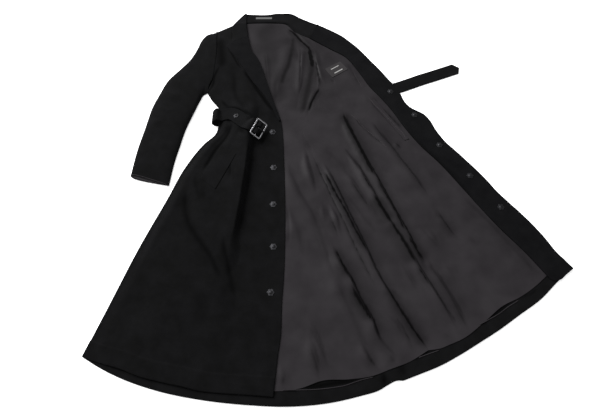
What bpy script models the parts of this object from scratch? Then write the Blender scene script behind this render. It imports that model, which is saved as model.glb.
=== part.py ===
"""A long belted wool coat, laid on its back with its right front closed and its left front opened out.

Frame: X to the right, Y towards the collar, Z up. The origin is on the floor below the middle of the
laid coat. Tables and functions work in millimetres, and wall() and tube() turn them to metres.

How the cloth is shaped. Each cut piece has four edges, and a patch between them gives its plan. Its
underside starts at a height of its own and is then let down on what already lies below, which a height
map of the layout remembers. Its upper side is the underside moved up by the wall of the cloth.
"""

import math

import bmesh
import bpy
import numpy as np
from mathutils import Matrix, Vector

MM = 0.001
COLLECTION = "belted_coat"
CUTTERS = "cutters"

# Cloth walls and gaps
WOOL = 2.5
WOOL_TURNED_UP = 4.4
LAPEL_WALL = 3.4
LINING = 1.0
BELT_WALL = 3.0
FLAP_WALL = 2.2
WELT_WALL = 1.2
LABEL_WALL = 0.7
LAY_GAP = 0.35
SEAM_GAP = 0.35
HEM_SHARE = 0.034
HEM_NOTCH = 0.952
STEEPEST = 1.5

# Belt and buckle
BELT_WIDTH = 45.5
BUCKLE_LENGTH = 60.0
BUCKLE_WIDTH = 38.0
BUCKLE_BAR = 4.0
BUCKLE_THICKNESS = 3.0
CENTRE_BAR = 2.6
BUCKLE_CENTRE = (-226.0, 121.5, 31.5)
BAR_DIRECTION = (24.0, 54.0, 0.0)
BUCKLE_DOWN = (28.0, -12.4, -20.0)
PRONG_WIRE = 1.25
PRONG_LOOP = 3.55
PRONG_REST = BUCKLE_THICKNESS / 2 + PRONG_WIRE + 0.3
PRONG_REACH = 20.5
PRONG_SLOT = 9.0

# Press studs
STUD_RADIUS = 9.4
STUD_LOBES = 6
STUD_SEGMENTS = 18
STUD_PROFILE = (
    # share of the radius, height, depth of the lobes
    (0.90, 0.0, 0.08),
    (1.00, 0.7, 0.10),
    (0.40, 1.8, 0.0),
    (0.28, 3.0, 0.0),
)

# Press studs on the right front and on the left facing, at 130 mm spacing along the edge
STUDS_RIGHT = ((-184, 125), (-178, -4), (-176, -128), (-172, -259), (-176, -388))
STUDS_LEFT = ((195, 286), (264, 193), (328, 78), (404, -31), (475, -136))
BELT_STUD = (-299, 175)
BELT_STUD_SHARE = 0.82

# Edges of the cut pieces, as places that each smooth edge runs through
BACK_HEM = ((-636, -551), (-590, -576), (-535, -600), (-434, -631), (-337, -649), (-217, -661),
            (-123, -664), (-29, -656), (43, -641), (92, -627), (112, -616), (135, -606), (150, -606))
BACK_SIDE = ((-636, -551), (-593, -420), (-541, -262), (-480, -102), (-447, -11), (-394, 83),
             (-361, 122), (-355, 170), (-357, 212), (-390, 262), (-400, 282), (-389, 330),
             (-385, 400), (-385, 466), (-393, 559))
SIDE_SEAM = ((150, -606), (125, -550), (95, -473), (38, -349), (-4, -255), (-24, -150),
             (-50, -30), (-74, 60), (-90, 138), (-72, 215), (-48, 300), (-50, 400),
             (-76, 480), (-112, 545), (-140, 598))
BACK_TOP = ((-393, 559), (-340, 587), (-291, 603), (-213, 605), (-140, 598))

LEFT_HEM = ((150, -606), (192, -591), (243, -572), (296, -546), (350, -516), (406, -484),
            (465, -446), (526, -407), (591, -352), (634, -321))
LEFT_EDGE = ((634, -321), (606, -282), (569, -214), (528, -154), (482, -95), (437, -24), (387, 43),
             (347, 94), (325, 135), (311, 174), (295, 198), (277, 210), (254, 226), (237, 250),
             (228, 279), (216, 305), (203, 324), (169, 381), (138, 426), (107, 472), (75, 510),
             (41, 544), (7, 568), (-35, 593))
LEFT_TOP = ((-140, 598), (-112, 575), (-80, 564), (-35, 593))

LINING_SEAM = ((218, -535), (178, -474), (135, -383), (107, -342), (76, -285), (52, -226),
               (27, -164), (1, -100), (-26, -32), (-51, 38), (-90, 138), (-72, 215), (-42, 300),
               (-45, 385), (-66, 472), (-98, 528), (-122, 562))
BACK_LINING_HEM = ((-596, -524), (-535, -556), (-434, -589), (-337, -608), (-217, -621),
                   (-160, -630), (-100, -624), (-45, -606), (20, -603), (74, -596), (120, -580),
                   (170, -562), (218, -535))
BACK_LINING_SIDE = ((-596, -524), (-566, -420), (-515, -262), (-454, -102), (-420, -11),
                    (-370, 80), (-342, 122), (-338, 170), (-340, 212), (-368, 262), (-378, 330),
                    (-374, 400), (-374, 466), (-380, 528))
BACK_LINING_TOP = ((-380, 528), (-335, 570), (-289, 597), (-213, 600), (-150, 595), (-122, 562))
LEFT_LINING_HEM = ((218, -535), (247, -531), (274, -521), (308, -507), (368, -466), (425, -423),
                   (474, -400), (520, -371), (557, -342))
FACING_SEAM = ((557, -342), (529, -296), (502, -258), (465, -210), (414, -134), (368, -62),
               (320, 11), (267, 76), (230, 135), (193, 207), (171, 243), (130, 301), (91, 379),
               (54, 438), (10, 470), (-30, 500), (-64, 526))
LEFT_LINING_TOP = ((-122, 562), (-96, 543), (-64, 526))
FACING_FOOT = ((557, -342), (568, -354), (590, -353), (612, -337), (634, -321))
GORGE_LEFT = ((-64, 526), (-49, 561), (-35, 593))

FRONT_HEM = ((-636, -549), (-588, -564), (-536, -578), (-485, -596), (-435, -608), (-386, -618),
             (-337, -629), (-289, -634), (-242, -637), (-163, -643))
FRONT_SIDE = BACK_SIDE[:-1] + ((-393, 560),)
FRONT_EDGE = ((-163, -643), (-159, -600), (-155, -554), (-149, -510), (-146, -408), (-142, -326),
              (-141, -239), (-143, -114), (-148, 22), (-154, 125), (-159, 166), (-172, 206),
              (-186, 246), (-201, 296), (-211, 330), (-227, 387), (-245, 432), (-264, 464),
              (-281, 530), (-290, 603))
FRONT_TOP = ((-393, 560), (-362, 576), (-335, 591), (-290, 603))

ROLL_LINE = ((-161, 168), (-172, 206), (-186, 246), (-201, 296), (-211, 330), (-227, 387),
             (-245, 432), (-264, 464), (-281, 530))
LAPEL_EDGE = ((-168, 168), (-195, 231), (-222, 276), (-257, 326), (-282, 370), (-308, 414),
              (-334, 455), (-354, 488))
LAPEL_FOOT = ((-168, 168), (-164, 165), (-161, 168))
GORGE_RIGHT = ((-354, 488), (-330, 505), (-281, 530))

LEAF_FOOT = ((-332, 508), (-310, 520), (-281, 533))
LEAF_OUTER = ((-332, 508), (-336, 545), (-339, 580), (-326, 612), (-300, 651))
LEAF_ROLL = ((-281, 533), (-288, 580), (-291, 615), (-291, 651))
LEAF_TOP = ((-300, 651), (-295, 653), (-291, 651))

STAND_SEAM = ((-289, 605), (-260, 607), (-213, 609), (-165, 606), (-140, 600), (-122, 566),
              (-98, 545), (-65, 529))
STAND_ROLL = ((-291, 652), (-258, 648), (-237, 647), (-208, 649), (-190, 653), (-157, 655),
              (-132, 653), (-100, 632), (-64, 611), (-36, 597))
FALL_FOOT = ((-318, 596), (-289, 590), (-213, 586), (-160, 586), (-128, 556), (-60, 548))
COLLAR_ROLL_RADIUS = 2.3

LEFT_LAPEL_ROLL = ((206, 318), (169, 380), (138, 425), (107, 471), (75, 509), (41, 543), (7, 567),
                   (-34, 595))
LEFT_LAPEL_EDGE = ((200, 316), (150, 345), (100, 385), (50, 430), (10, 470), (-40, 500))
LEFT_LAPEL_FOOT = ((200, 316), (203, 316), (206, 318))
LEFT_LAPEL_TOP = ((-40, 500), (-38, 550), (-34, 595))

# Right sleeve
SLEEVE_OUTER = ((-602, -24), (-596, 58), (-584, 144), (-571, 232), (-556, 281), (-536, 338),
                (-505, 382), (-475, 426), (-456, 472), (-440, 526), (-428, 545), (-393.4, 560))
SLEEVE_INNER = ((-484, -64), (-476, 23), (-467, 78), (-458, 131), (-447, 173), (-435, 213),
                (-423, 252), (-413, 276), (-402.0, 284))
SLEEVE_CUFF = ((-602, -24), (-545, -44), (-484, -64))
ARMHOLE = ((-393.4, 560), (-385.5, 466), (-385.5, 400), (-390.0, 330), (-402.0, 284))
SLEEVE_TOP_HEIGHTS = ((0.0, 12.5), (0.12, 15.0), (0.45, 18.0), (0.8, 17.0), (1.0, 12.0))
CUFF_LOWER_SHIFT = 15.0
ARMPIT_EASE = 14.0

# Left sleeve, which lies hidden below the opened front
HIDDEN_OUTER = ((330, -180), (300, -60), (262, 60), (218, 170), (165, 260), (110, 340), (55, 405),
                (-5, 450), (-62, 472))
HIDDEN_INNER = ((212, -200), (170, -90), (130, 10), (85, 90), (40, 145), (-10, 195), (-60, 226))
HIDDEN_CUFF = ((330, -180), (272, -192), (212, -200))
HIDDEN_HEAD = ((-62, 472), (-38, 350), (-60, 226))
HIDDEN_HEIGHT = 6.0
RING_SPREAD = 42.0

# Belt: places along its middle, from the pointed end to the side of the waist, and back over the front
BELT_BELOW = ((414, 387), (352, 362), (281, 334), (248, 319), (216, 307), (150, 285), (60, 250),
              (-100, 208), (-250, 182), (-357, 175))
BELT_TURN = (
    # x, y, height at the side of the waist
    (-363, 175, 2.4),
    (-370, 175, 6.0),
    (-374.5, 176, 13.0),
    (-371.5, 178, 20.0),
    (-362, 182, 25.5),
)
BELT_ABOVE = ((-348, 186), (-335, 188), (-319, 188), (-303, 180), (-288, 166), (-276, 154),
              (-266, 145))
BELT_POINT = 16.0
BELT_SHOULDER = 11.0
BELT_HOOK = (
    # across the buckle and above its middle plane, from the left bar round the centre bar
    (-27.0, -5.2),
    (-21.0, -4.3),
    (-16.0, -3.75),
    (-10.0, -1.2),
    (-5.0, 2.6),
    (0.0, 4.2),
    (3.4, 2.6),
    (4.4, -0.4),
    (3.0, -3.2),
    (-1.0, -4.6),
    (-7.0, -5.9),
    (-14.0, -7.2),
    (-22.0, -8.0),
)

# Right pocket flap, welts of the inside pockets and labels: places of their corners
POCKET_FLAP = ((-390, -49), (-343, -86), (-290, 31), (-338, 71))
INNER_WELT = ((222, 92), (236, 98), (140, 250), (126, 244))
INNER_LABEL_CENTRE = (22, 380)
INNER_LABEL_SIZE = (64, 44)
INNER_LABEL_TURN = 34.0
NECK_LABEL_CENTRE = (-229, 628)
NECK_LABEL_SIZE = (58, 10)

# Right front, height of its underside across the piece in sections along its length
FRONT_SECTIONS = (
    # y, edge, side at, side, body at, body, crest at, crest, foot at, strip
    (-650, 2.9, 0.06, 3.6, 0.35, 5.0, 0.58, 5.2, 0.80, 4.4),
    (-560, 2.9, 0.07, 5.5, 0.35, 9.0, 0.60, 9.0, 0.80, 4.4),
    (-430, 2.9, 0.08, 8.0, 0.38, 14.0, 0.60, 13.0, 0.76, 4.4),
    (-280, 2.9, 0.09, 11.0, 0.38, 17.0, 0.60, 19.0, 0.71, 4.4),
    (-200, 2.9, 0.10, 13.0, 0.38, 18.0, 0.61, 25.0, 0.70, 4.4),
    (-100, 2.9, 0.10, 14.0, 0.38, 19.0, 0.61, 28.0, 0.71, 4.4),
    (0, 2.9, 0.12, 15.0, 0.38, 21.0, 0.60, 30.0, 0.73, 4.4),
    (60, 2.9, 0.14, 15.0, 0.37, 22.0, 0.56, 31.5, 0.76, 4.4),
    (110, 3.0, 0.15, 15.0, 0.36, 23.0, 0.50, 32.0, 0.84, 4.6),
    (160, 3.2, 0.15, 14.0, 0.36, 22.0, 0.50, 28.0, 0.88, 5.5),
    (230, 3.4, 0.15, 12.0, 0.40, 16.0, 0.62, 16.0, 0.90, 8.0),
    (285, 3.4, 0.15, 9.0, 0.40, 13.5, 0.65, 13.0, 0.90, 9.0),
    (330, 8.0, 0.15, 9.5, 0.40, 13.0, 0.65, 12.0, 0.90, 9.0),
    (450, 9.5, 0.15, 10.0, 0.40, 11.0, 0.65, 10.5, 0.90, 9.0),
    (520, 6.0, 0.15, 7.5, 0.40, 8.5, 0.65, 8.5, 0.90, 8.0),
    (545, 3.2, 0.15, 5.0, 0.40, 7.0, 0.65, 7.5, 0.90, 7.5),
    (610, 3.2, 0.15, 4.0, 0.40, 5.0, 0.65, 6.0, 0.90, 6.0),
)

# Folds: places along each one, its height (a trough is below 0), and its width to the left and right
FRONT_FOLDS = (
    (((-311, 150), (-332, 105), (-350, 60), (-372, 8), (-388, -30)), -8.0, 22.0, 22.0),
    (((-433, -70), (-424, -160), (-397, -215), (-357, -260), (-319, -326)), -7.0, 30.0, 26.0),
    (((-311, -245), (-300, -300), (-288, -346), (-272, -400)), -6.0, 24.0, 24.0),
    (((-355, -370), (-327, -457), (-305, -510)), -4.5, 26.0, 26.0),
    (((-325, 420), (-315, 307), (-296, 215)), -5.0, 24.0, 24.0),
)
BACK_LINING_FOLDS = (
    (((-218, 480), (-209, 339), (-190, 120)), 4.0, 20.0, 20.0),
    (((-118, 560), (-125, 440), (-152, 359), (-168, 240)), 7.0, 24.0, 24.0),
    (((-88, 90), (-55, 4), (-35, -65), (-14, -131), (6, -225)), 7.0, 20.0, 20.0),
    (((-4, -245), (16, -304), (62, -395), (95, -473), (132, -570)), 8.0, 20.0, 20.0),
    (((-100, 30), (-65, -81), (-29, -170)), 5.0, 22.0, 22.0),
    (((-76, -465), (-60, -522), (-51, -605)), 5.0, 20.0, 20.0),
)
LEFT_LINING_FOLDS = (
    (((36, 189), (88, 38), (127, -83), (161, -186), (219, -293), (287, -417), (318, -490)),
     9.0, 20.0, 20.0),
    (((-70, 60), (-12, -70), (40, -190), (95, -320), (150, -415), (222, -540)), 7.0, 20.0, 18.0),
    (((114, 162), (183, 56), (240, -32), (290, -90)), 5.0, 22.0, 22.0),
    (((278, -131), (313, -185), (342, -240)), 4.0, 22.0, 22.0),
    (((-60, 470), (-20, 380), (-20, 300), (-60, 190)), 5.0, 22.0, 30.0),
)

FABRIC_ROUGHNESS = 0.92
SHEEN_ROUGHNESS = 0.45
FINISHES = {
    # base colour, roughness, metallic
    "black_wool": ((0.012, 0.012, 0.013), FABRIC_ROUGHNESS, 0.0),
    "black_wool_facing": ((0.013, 0.013, 0.014), FABRIC_ROUGHNESS, 0.0),
    "charcoal_lining": ((0.034, 0.031, 0.033), SHEEN_ROUGHNESS, 0.0),
    "gunmetal": ((0.22, 0.22, 0.23), 0.32, 1.0),
    "pale_tape": ((0.62, 0.62, 0.60), 0.8, 0.0),
    "black_tape": ((0.02, 0.02, 0.021), 0.7, 0.0),
}


# Smooth lines and patches

def smooth_line(places):
    """A curve through places: each stretch is a cubic whose slopes follow its neighbours. Takes an array of shares."""
    p = np.asarray(places, float)
    chords = np.linalg.norm(np.diff(p, axis=0), axis=1)
    knots = np.concatenate([[0.0], np.cumsum(chords)]) / chords.sum()
    slopes = np.gradient(p, knots, axis=0)

    def at(share):
        s = np.clip(np.asarray(share, float), 0.0, 1.0)
        i = np.clip(np.searchsorted(knots, s, side="right") - 1, 0, len(knots) - 2)
        span = (knots[i + 1] - knots[i])[..., None]
        t = ((s - knots[i]) / (knots[i + 1] - knots[i]))[..., None]
        return (
            p[i] * (2 * t**3 - 3 * t**2 + 1)
            + p[i + 1] * (3 * t**2 - 2 * t**3)
            + slopes[i] * span * (t**3 - 2 * t**2 + t)
            + slopes[i + 1] * span * (t**3 - t**2)
        )

    return at


def patch(foot, head, left, right, columns, rows):
    """Plan of a piece between four edges: the two ruled surfaces between opposite edges, less the flat one between corners."""
    u = np.asarray(columns, float)
    v = np.asarray(rows, float)
    b, t, l, r = (smooth_line(e) for e in (foot, head, left, right))
    ug, vg = np.meshgrid(u, v)
    ug, vg = ug[..., None], vg[..., None]
    bu, tu = b(u)[None], t(u)[None]
    lv, rv = l(v)[:, None], r(v)[:, None]
    corners = (
        (1 - ug) * (1 - vg) * b(0.0)
        + ug * (1 - vg) * b(1.0)
        + (1 - ug) * vg * t(0.0)
        + ug * vg * t(1.0)
    )
    return (1 - vg) * bu + vg * tu + (1 - ug) * lv + ug * rv - corners


def even(count):
    """Shares from 0 to 1 in count equal steps."""
    return np.linspace(0.0, 1.0, count + 1)


def hem_rows(count):
    """Shares along a piece with one row at the top of the turned-up hem."""
    return np.concatenate([[0.0], np.linspace(HEM_SHARE, 1.0, count)])


def smooth_step(x):
    x = np.clip(x, 0.0, 1.0)
    return x * x * (3 - 2 * x)


def fold_height(x, y, folds):
    """Sum of folds: each is a bell across its line, with its own width on each side, fading out at its two ends."""
    total = np.zeros_like(x)
    for places, height, left, right in folds:
        line = smooth_line(places)(even(24))
        best = np.full(x.shape, 1e9)
        side = np.ones(x.shape)
        along = np.zeros(x.shape)
        for k, (a, b) in enumerate(zip(line, line[1:])):
            d = b - a
            t = np.clip(((x - a[0]) * d[0] + (y - a[1]) * d[1]) / (d @ d), 0.0, 1.0)
            ox, oy = x - a[0] - t * d[0], y - a[1] - t * d[1]
            away = np.hypot(ox, oy)
            nearer = away < best
            best = np.where(nearer, away, best)
            side = np.where(nearer, np.sign(d[0] * oy - d[1] * ox), side)
            along = np.where(nearer, (k + t) / (len(line) - 1), along)
        width = np.where(side > 0, left, right)
        ends = smooth_step(along / 0.18) * smooth_step((1 - along) / 0.18)
        total += height * np.exp(-((best / width) ** 2)) * (0.15 + 0.85 * ends)
    return total


def front_height(x, y, across):
    """Underside of the right front: smooth steps between the knots of the section at y, plus the folds."""
    table = np.array(FRONT_SECTIONS)
    edge, side_at, side, body_at, body, crest_at, crest, foot_at, strip = (
        np.interp(y, table[:, 0], table[:, k]) for k in range(1, 10)
    )
    stations = (0.0 * y, side_at, body_at, crest_at, foot_at)
    heights = (edge, side, body, crest, strip)
    z = edge.copy()
    for k in range(4):
        share = (across - stations[k]) / (stations[k + 1] - stations[k])
        z += (heights[k + 1] - heights[k]) * smooth_step(share)
    inside = smooth_step(across / 0.08) * smooth_step((0.98 - across) / 0.1)
    return z + fold_height(x, y, FRONT_FOLDS) * inside


# The height map of what already lies on the floor

CELL = 2.0
MAP_LOW = np.array([-680.0, -700.0])
MAP_SIZE = (700, 700)
lying = np.full(MAP_SIZE, -LAY_GAP)


def map_cells(x, y):
    i = np.clip(((x - MAP_LOW[0]) / CELL).astype(int), 0, MAP_SIZE[0] - 1)
    j = np.clip(((y - MAP_LOW[1]) / CELL).astype(int), 0, MAP_SIZE[1] - 1)
    return i, j


def dense(grid, step=1.0):
    """Points between a grid's own points, closer than step, with their places in the grid: a bilinear sheet."""
    rows, columns = grid.shape[:2]
    reach_u = np.linalg.norm(np.diff(grid[..., :2], axis=1), axis=2).max()
    reach_v = np.linalg.norm(np.diff(grid[..., :2], axis=0), axis=2).max()
    u = np.linspace(0, columns - 1, int(math.ceil(reach_u / step)) * (columns - 1) + 1)
    v = np.linspace(0, rows - 1, int(math.ceil(reach_v / step)) * (rows - 1) + 1)
    i = np.minimum(u.astype(int), columns - 2)
    j = np.minimum(v.astype(int), rows - 2)
    fu, fv = (u - i)[None, :, None], (v - j)[:, None, None]
    j, i = j[:, None], i[None, :]
    sheet = (
        grid[j, i] * (1 - fu) * (1 - fv)
        + grid[j, i + 1] * fu * (1 - fv)
        + grid[j + 1, i] * (1 - fu) * fv
        + grid[j + 1, i + 1] * fu * fv
    )
    return sheet, j, i


def remember(top):
    """Notes the upper side of a laid piece in the height map."""
    sheet, _, _ = dense(top)
    i, j = map_cells(sheet[..., 0], sheet[..., 1])
    np.maximum.at(lying, (i, j), sheet[..., 2])


def let_down(grid, rounds=8):
    """Lifts a sheet's points until no place of it is nearer than the gap to what lies below."""
    for _ in range(rounds):
        sheet, j, i = dense(grid)
        x, y = sheet[..., 0], sheet[..., 1]
        below = lying[map_cells(x, y)]
        for dx, dy in ((CELL / 2, 0), (-CELL / 2, 0), (0, CELL / 2), (0, -CELL / 2)):
            below = np.maximum(below, lying[map_cells(x + dx, y + dy)])
        lift = np.maximum(below + LAY_GAP - sheet[..., 2], 0.0)
        if lift.max() < 0.01:
            break
        raised = np.zeros(grid.shape[:2])
        for dj in (0, 1):
            for di in (0, 1):
                np.maximum.at(raised, (j + dj + 0 * i, i + di + 0 * j), lift)
        grid[..., 2] += raised
    return grid


# Making solids

def material(name):
    found = bpy.data.materials.get(name)
    if found:
        return found
    colour, roughness, metallic = FINISHES[name]
    made = bpy.data.materials.new(name)
    made.use_nodes = True
    shader = made.node_tree.nodes["Principled BSDF"]
    shader.inputs["Base Color"].default_value = (*colour, 1.0)
    shader.inputs["Roughness"].default_value = roughness
    shader.inputs["Metallic"].default_value = metallic
    return made


def add_object(name, mesh, finish, collection=COLLECTION):
    """Puts a mesh in the scene under its node's name, smooth but for its sharp edges."""
    made = bpy.data.objects.new(name, mesh)
    mesh.shade_smooth()
    mesh.set_sharp_from_angle(angle=math.radians(40))
    if finish:
        mesh.materials.append(material(finish))
    bpy.data.collections[collection].objects.link(made)
    return made


def mesh_of(name, bm):
    bmesh.ops.recalc_face_normals(bm, faces=bm.faces)
    mesh = bpy.data.meshes.new(name)
    bm.to_mesh(mesh)
    bm.free()
    return mesh


def wall(name, under, over, finish):
    """A closed sheet of cloth: a grid on the underside, extruded to the upper side."""
    rows, columns = under.shape[:2]
    bm = bmesh.new()
    bmesh.ops.create_grid(bm, x_segments=columns - 1, y_segments=rows - 1, size=0.5)
    place = bm.verts.layers.int.new("place")
    for vert in bm.verts:
        column = round((vert.co.x + 0.5) * (columns - 1))
        row = round((vert.co.y + 0.5) * (rows - 1))
        vert[place] = row * columns + column
    low, high = under.reshape(-1, 3) * MM, over.reshape(-1, 3) * MM
    grown = bmesh.ops.extrude_face_region(bm, geom=bm.faces[:], use_keep_orig=True)
    upper = {v for v in grown["geom"] if isinstance(v, bmesh.types.BMVert)}
    for vert in bm.verts:
        vert.co = Vector((high if vert in upper else low)[vert[place]])
    bm.verts.layers.int.remove(place)
    return add_object(name, mesh_of(name, bm), finish)


def upright_wall(grid, thickness):
    """Upright thickness that gives the cloth its wall where it slopes."""
    du = np.gradient(grid, axis=1)
    dv = np.gradient(grid, axis=0)
    slope_u = du[..., 2] / np.maximum(np.linalg.norm(du[..., :2], axis=2), 0.5)
    slope_v = dv[..., 2] / np.maximum(np.linalg.norm(dv[..., :2], axis=2), 0.5)
    return thickness * np.minimum(np.sqrt(1 + slope_u**2 + slope_v**2), STEEPEST)


def lay(name, plan, finish, thickness=WOOL, own_height=0.0, folds=()):
    """Lays one cut piece: its plan, let down from its own height, with its folds added."""
    x, y = plan[..., 0], plan[..., 1]
    under = let_down(np.dstack([x, y, np.broadcast_to(own_height, x.shape)]))
    under[..., 2] += np.maximum(fold_height(x, y, folds), 0.0)
    over = under.copy()
    over[..., 2] += upright_wall(under, thickness)
    remember(over)
    return wall(name, under, over, finish)


def hem_thickness(rows, columns):
    """Wall of a shell: doubled in the turned-up hem, which is the first two rows."""
    thick = np.full((rows, columns), WOOL)
    thick[:2] = WOOL_TURNED_UP
    return thick


def corner_plan(corners, columns, rows):
    """Grid between four corners, given anticlockwise from the lower left."""
    a, b, c, d = (np.array(p, float) for p in corners)
    u, v = np.meshgrid(even(columns), even(rows))
    u, v = u[..., None], v[..., None]
    return a * (1 - u) * (1 - v) + b * u * (1 - v) + c * u * v + d * (1 - u) * v


def turned_rectangle(centre, size, degrees):
    """Corners of a rectangle turned about its centre, anticlockwise."""
    turn = Matrix.Rotation(math.radians(degrees), 2)
    half = Vector(size) / 2
    signs = ((-1, -1), (1, -1), (1, 1), (-1, 1))
    return [tuple(Vector(centre) + turn @ Vector((half.x * a, half.y * b))) for a, b in signs]


def tube(name, outer, inner, finish):
    """An open tube lofted through closed rings: an outer and an inner skin, joined by a rim at each end."""
    rings, points = outer.shape[:2]
    bm = bmesh.new()
    skins = [
        [[bm.verts.new(Vector(p) * MM) for p in ring] for ring in skin] for skin in (outer, inner)
    ]
    for skin in skins:
        for r in range(rings - 1):
            for k in range(points):
                n = (k + 1) % points
                bm.faces.new((skin[r][k], skin[r][n], skin[r + 1][n], skin[r + 1][k]))
    for end in (0, rings - 1):
        for k in range(points):
            n = (k + 1) % points
            bm.faces.new((skins[0][end][k], skins[0][end][n], skins[1][end][n], skins[1][end][k]))
    return add_object(name, mesh_of(name, bm), finish)


# The pieces

def start():
    for old in list(bpy.data.objects):
        bpy.data.objects.remove(old)
    for name in (COLLECTION, CUTTERS):
        made = bpy.data.collections.new(name)
        bpy.context.scene.collection.children.link(made)


def rings_of_sleeve(outer_edge, inner_edge, cuff, head, heights, count, points, shift=0.0):
    """Outer and inner rings of a sleeve lying flat, with a flat underside and a round top.

    heights gives the folded height along the sleeve, and shift how much longer its lower layer is at the cuff.
    """
    angles = np.linspace(0, 2 * math.pi, points, endpoint=False)
    cosines, sines = np.cos(angles), np.sin(angles)
    rows = even(count)
    reach = np.sign(cosines) * np.abs(cosines) ** 0.72
    rings = []
    stations = even(40)
    plan = patch(cuff, head, outer_edge, inner_edge, stations, rows)
    across = 0.5 - 0.5 * reach
    for inset in (0.0, WOOL + 0.3):
        ring_rows = []
        for line, row in zip(plan, rows):
            width = np.linalg.norm(np.diff(line, axis=0), axis=1).sum()
            u = inset / width + across * (1 - 2 * inset / width)
            x = np.interp(u, stations, line[:, 0])
            y = np.interp(u, stations, line[:, 1])
            top = np.interp(row, *np.array(heights).T)
            low = WOOL if inset else 0.0
            high = top - low
            middle = min(WOOL + 0.35, top / 2)
            up = np.clip(sines, 0, 1) ** 0.8
            down = np.clip(-sines, 0, 1) ** 0.5
            z = middle + (high - middle) * up - (middle - low) * down
            fade = max(0.0, 1 - row / 0.06)
            y = y - shift * fade * (1 - sines) / 2 * (1 - u)
            ring_rows.append(np.dstack([x, y, z])[0])
        rings.append(np.array(ring_rows))
    return rings


def floor_below(rings):
    """How far each ring has to be lifted over what it lies on, spread to its neighbours."""
    x, y = rings[..., 0], rings[..., 1]
    most = np.zeros(x.shape[0])
    steps = np.arange(-RING_SPREAD, RING_SPREAD + 1, 6.0)
    for dx in steps:
        for dy in steps:
            here = lying[map_cells(x + dx, y + dy)] + LAY_GAP
            most = np.maximum(most, here.max(axis=1))
    return most[:, None]


def make_sleeve_right(body_edges):
    """The right sleeve, kept clear of the side edges of the pieces it is sewn to."""
    outer, inner = rings_of_sleeve(
        SLEEVE_OUTER, SLEEVE_INNER, SLEEVE_CUFF, ARMHOLE, SLEEVE_TOP_HEIGHTS, 16, 22, CUFF_LOWER_SHIFT
    )
    for edge in body_edges:
        order = np.argsort(edge[:, 1])
        for rings in (outer, inner):
            limit = np.min(
                [np.interp(rings[..., 1] + dy, edge[order, 1], edge[order, 0])
                 for dy in (-ARMPIT_EASE, 0.0, ARMPIT_EASE)],
                axis=0,
            ) - SEAM_GAP
            beside = rings[..., 1] > ARMHOLE[-1][1] - 12.0
            rings[..., 0] = np.where(beside, np.minimum(rings[..., 0], limit), rings[..., 0])
    return tube("right_sleeve", outer, inner, "black_wool")


def make_sleeve_left():
    """The left sleeve, folded flat below the opened front and over the belt."""
    heights = ((0.0, HIDDEN_HEIGHT), (1.0, HIDDEN_HEIGHT))
    outer, inner = rings_of_sleeve(
        HIDDEN_OUTER, HIDDEN_INNER, HIDDEN_CUFF, HIDDEN_HEAD, heights, 9, 14
    )
    lift = floor_below(outer)
    outer[..., 2] += lift
    inner[..., 2] += lift
    half = outer.shape[1] // 2
    remember(outer[:, : half + 1])
    return tube("left_sleeve", outer, inner, "black_wool")


def belt_frames(centres):
    """Width direction at each place along the belt's middle, level and square to its run."""
    run = np.gradient(centres[:, :2], axis=0)
    across = np.column_stack([run[:, 1], -run[:, 0]])
    return across / np.linalg.norm(across, axis=1)[:, None]


def ribbon(centres, across, shares):
    """Grid of a ribbon: rows along its middle line, columns over its width."""
    offsets = (np.asarray(shares) - 0.5) * BELT_WIDTH
    plan = centres[:, None, :2] + across[:, None, :] * offsets[None, :, None]
    height = np.repeat(centres[:, 2][:, None], len(shares), axis=1)
    return np.dstack([plan, height])


def thicken(middle, thickness):
    """Under and over sides of a ribbon, half its wall off the middle along its normals."""
    du = np.gradient(middle, axis=1)
    dv = np.gradient(middle, axis=0)
    normal = np.cross(du, dv)
    normal /= np.linalg.norm(normal, axis=2)[..., None]
    return middle - normal * thickness / 2, middle + normal * thickness / 2


BELT_SHARES = (0.0, 0.5, 1.0)
BELT_HOOK_ROWS = 21


def buckle_place():
    """The buckle's own place: X runs down across it, Y along its bars, Z square to its face."""
    along = Vector(BAR_DIRECTION).normalized()
    down = Vector(BUCKLE_DOWN)
    down = (down - along * down.dot(along)).normalized()
    turn = Matrix((down, along, down.cross(along))).transposed().to_4x4()
    return Matrix.Translation(Vector(BUCKLE_CENTRE)) @ turn


def in_metres(place):
    """The same place with its shift in metres."""
    return Matrix.Translation(place.translation * MM) @ place.to_3x3().to_4x4()


def belt_floor_rows():
    """The stretch on the floor: from the pointed end, below the coat, to the side of the waist."""
    line = smooth_line(BELT_BELOW)(even(20))
    centres = np.column_stack([line, np.full(len(line), BELT_WALL / 2)])
    grid = ribbon(centres, belt_frames(centres), BELT_SHARES)
    ahead = grid[0] - grid[1]
    ahead /= np.linalg.norm(ahead, axis=1)[:, None]
    shoulder = BELT_POINT * (1 - np.abs(np.array(BELT_SHARES) - 0.5) * 2)
    point = grid[0] + ahead * (BELT_SHOULDER + shoulder[:, None])
    return np.concatenate([point[None], grid])


def belt_side_rows():
    """The turn round the side of the waist, with the belt's width along Y."""
    centres = np.array(BELT_TURN)
    across = np.tile([0.0, 1.0], (len(centres), 1))
    return ribbon(centres, across, BELT_SHARES)


def belt_top_rows():
    """The stretch over the right front, let down on it, up to the buckle."""
    line = smooth_line(BELT_ABOVE)(even(10))
    centres = np.column_stack([line, np.full(len(line), 12.0)])
    across = belt_frames(centres)
    across *= np.sign(across[:, 1])[:, None]
    grid = let_down(ribbon(centres, across, BELT_SHARES))
    grid[..., 2] += BELT_WALL / 2 + 0.4
    return grid


def belt_hook_rows():
    """The end that passes below the left bar and round the centre bar, in the buckle's own axes."""
    place = buckle_place()
    line = smooth_line(BELT_HOOK)(even(BELT_HOOK_ROWS - 1))
    offsets = (np.array(BELT_SHARES) - 0.5) * BELT_WIDTH
    return np.array([[tuple(place @ Vector((d, o, h))) for o in offsets] for d, h in line])


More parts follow.
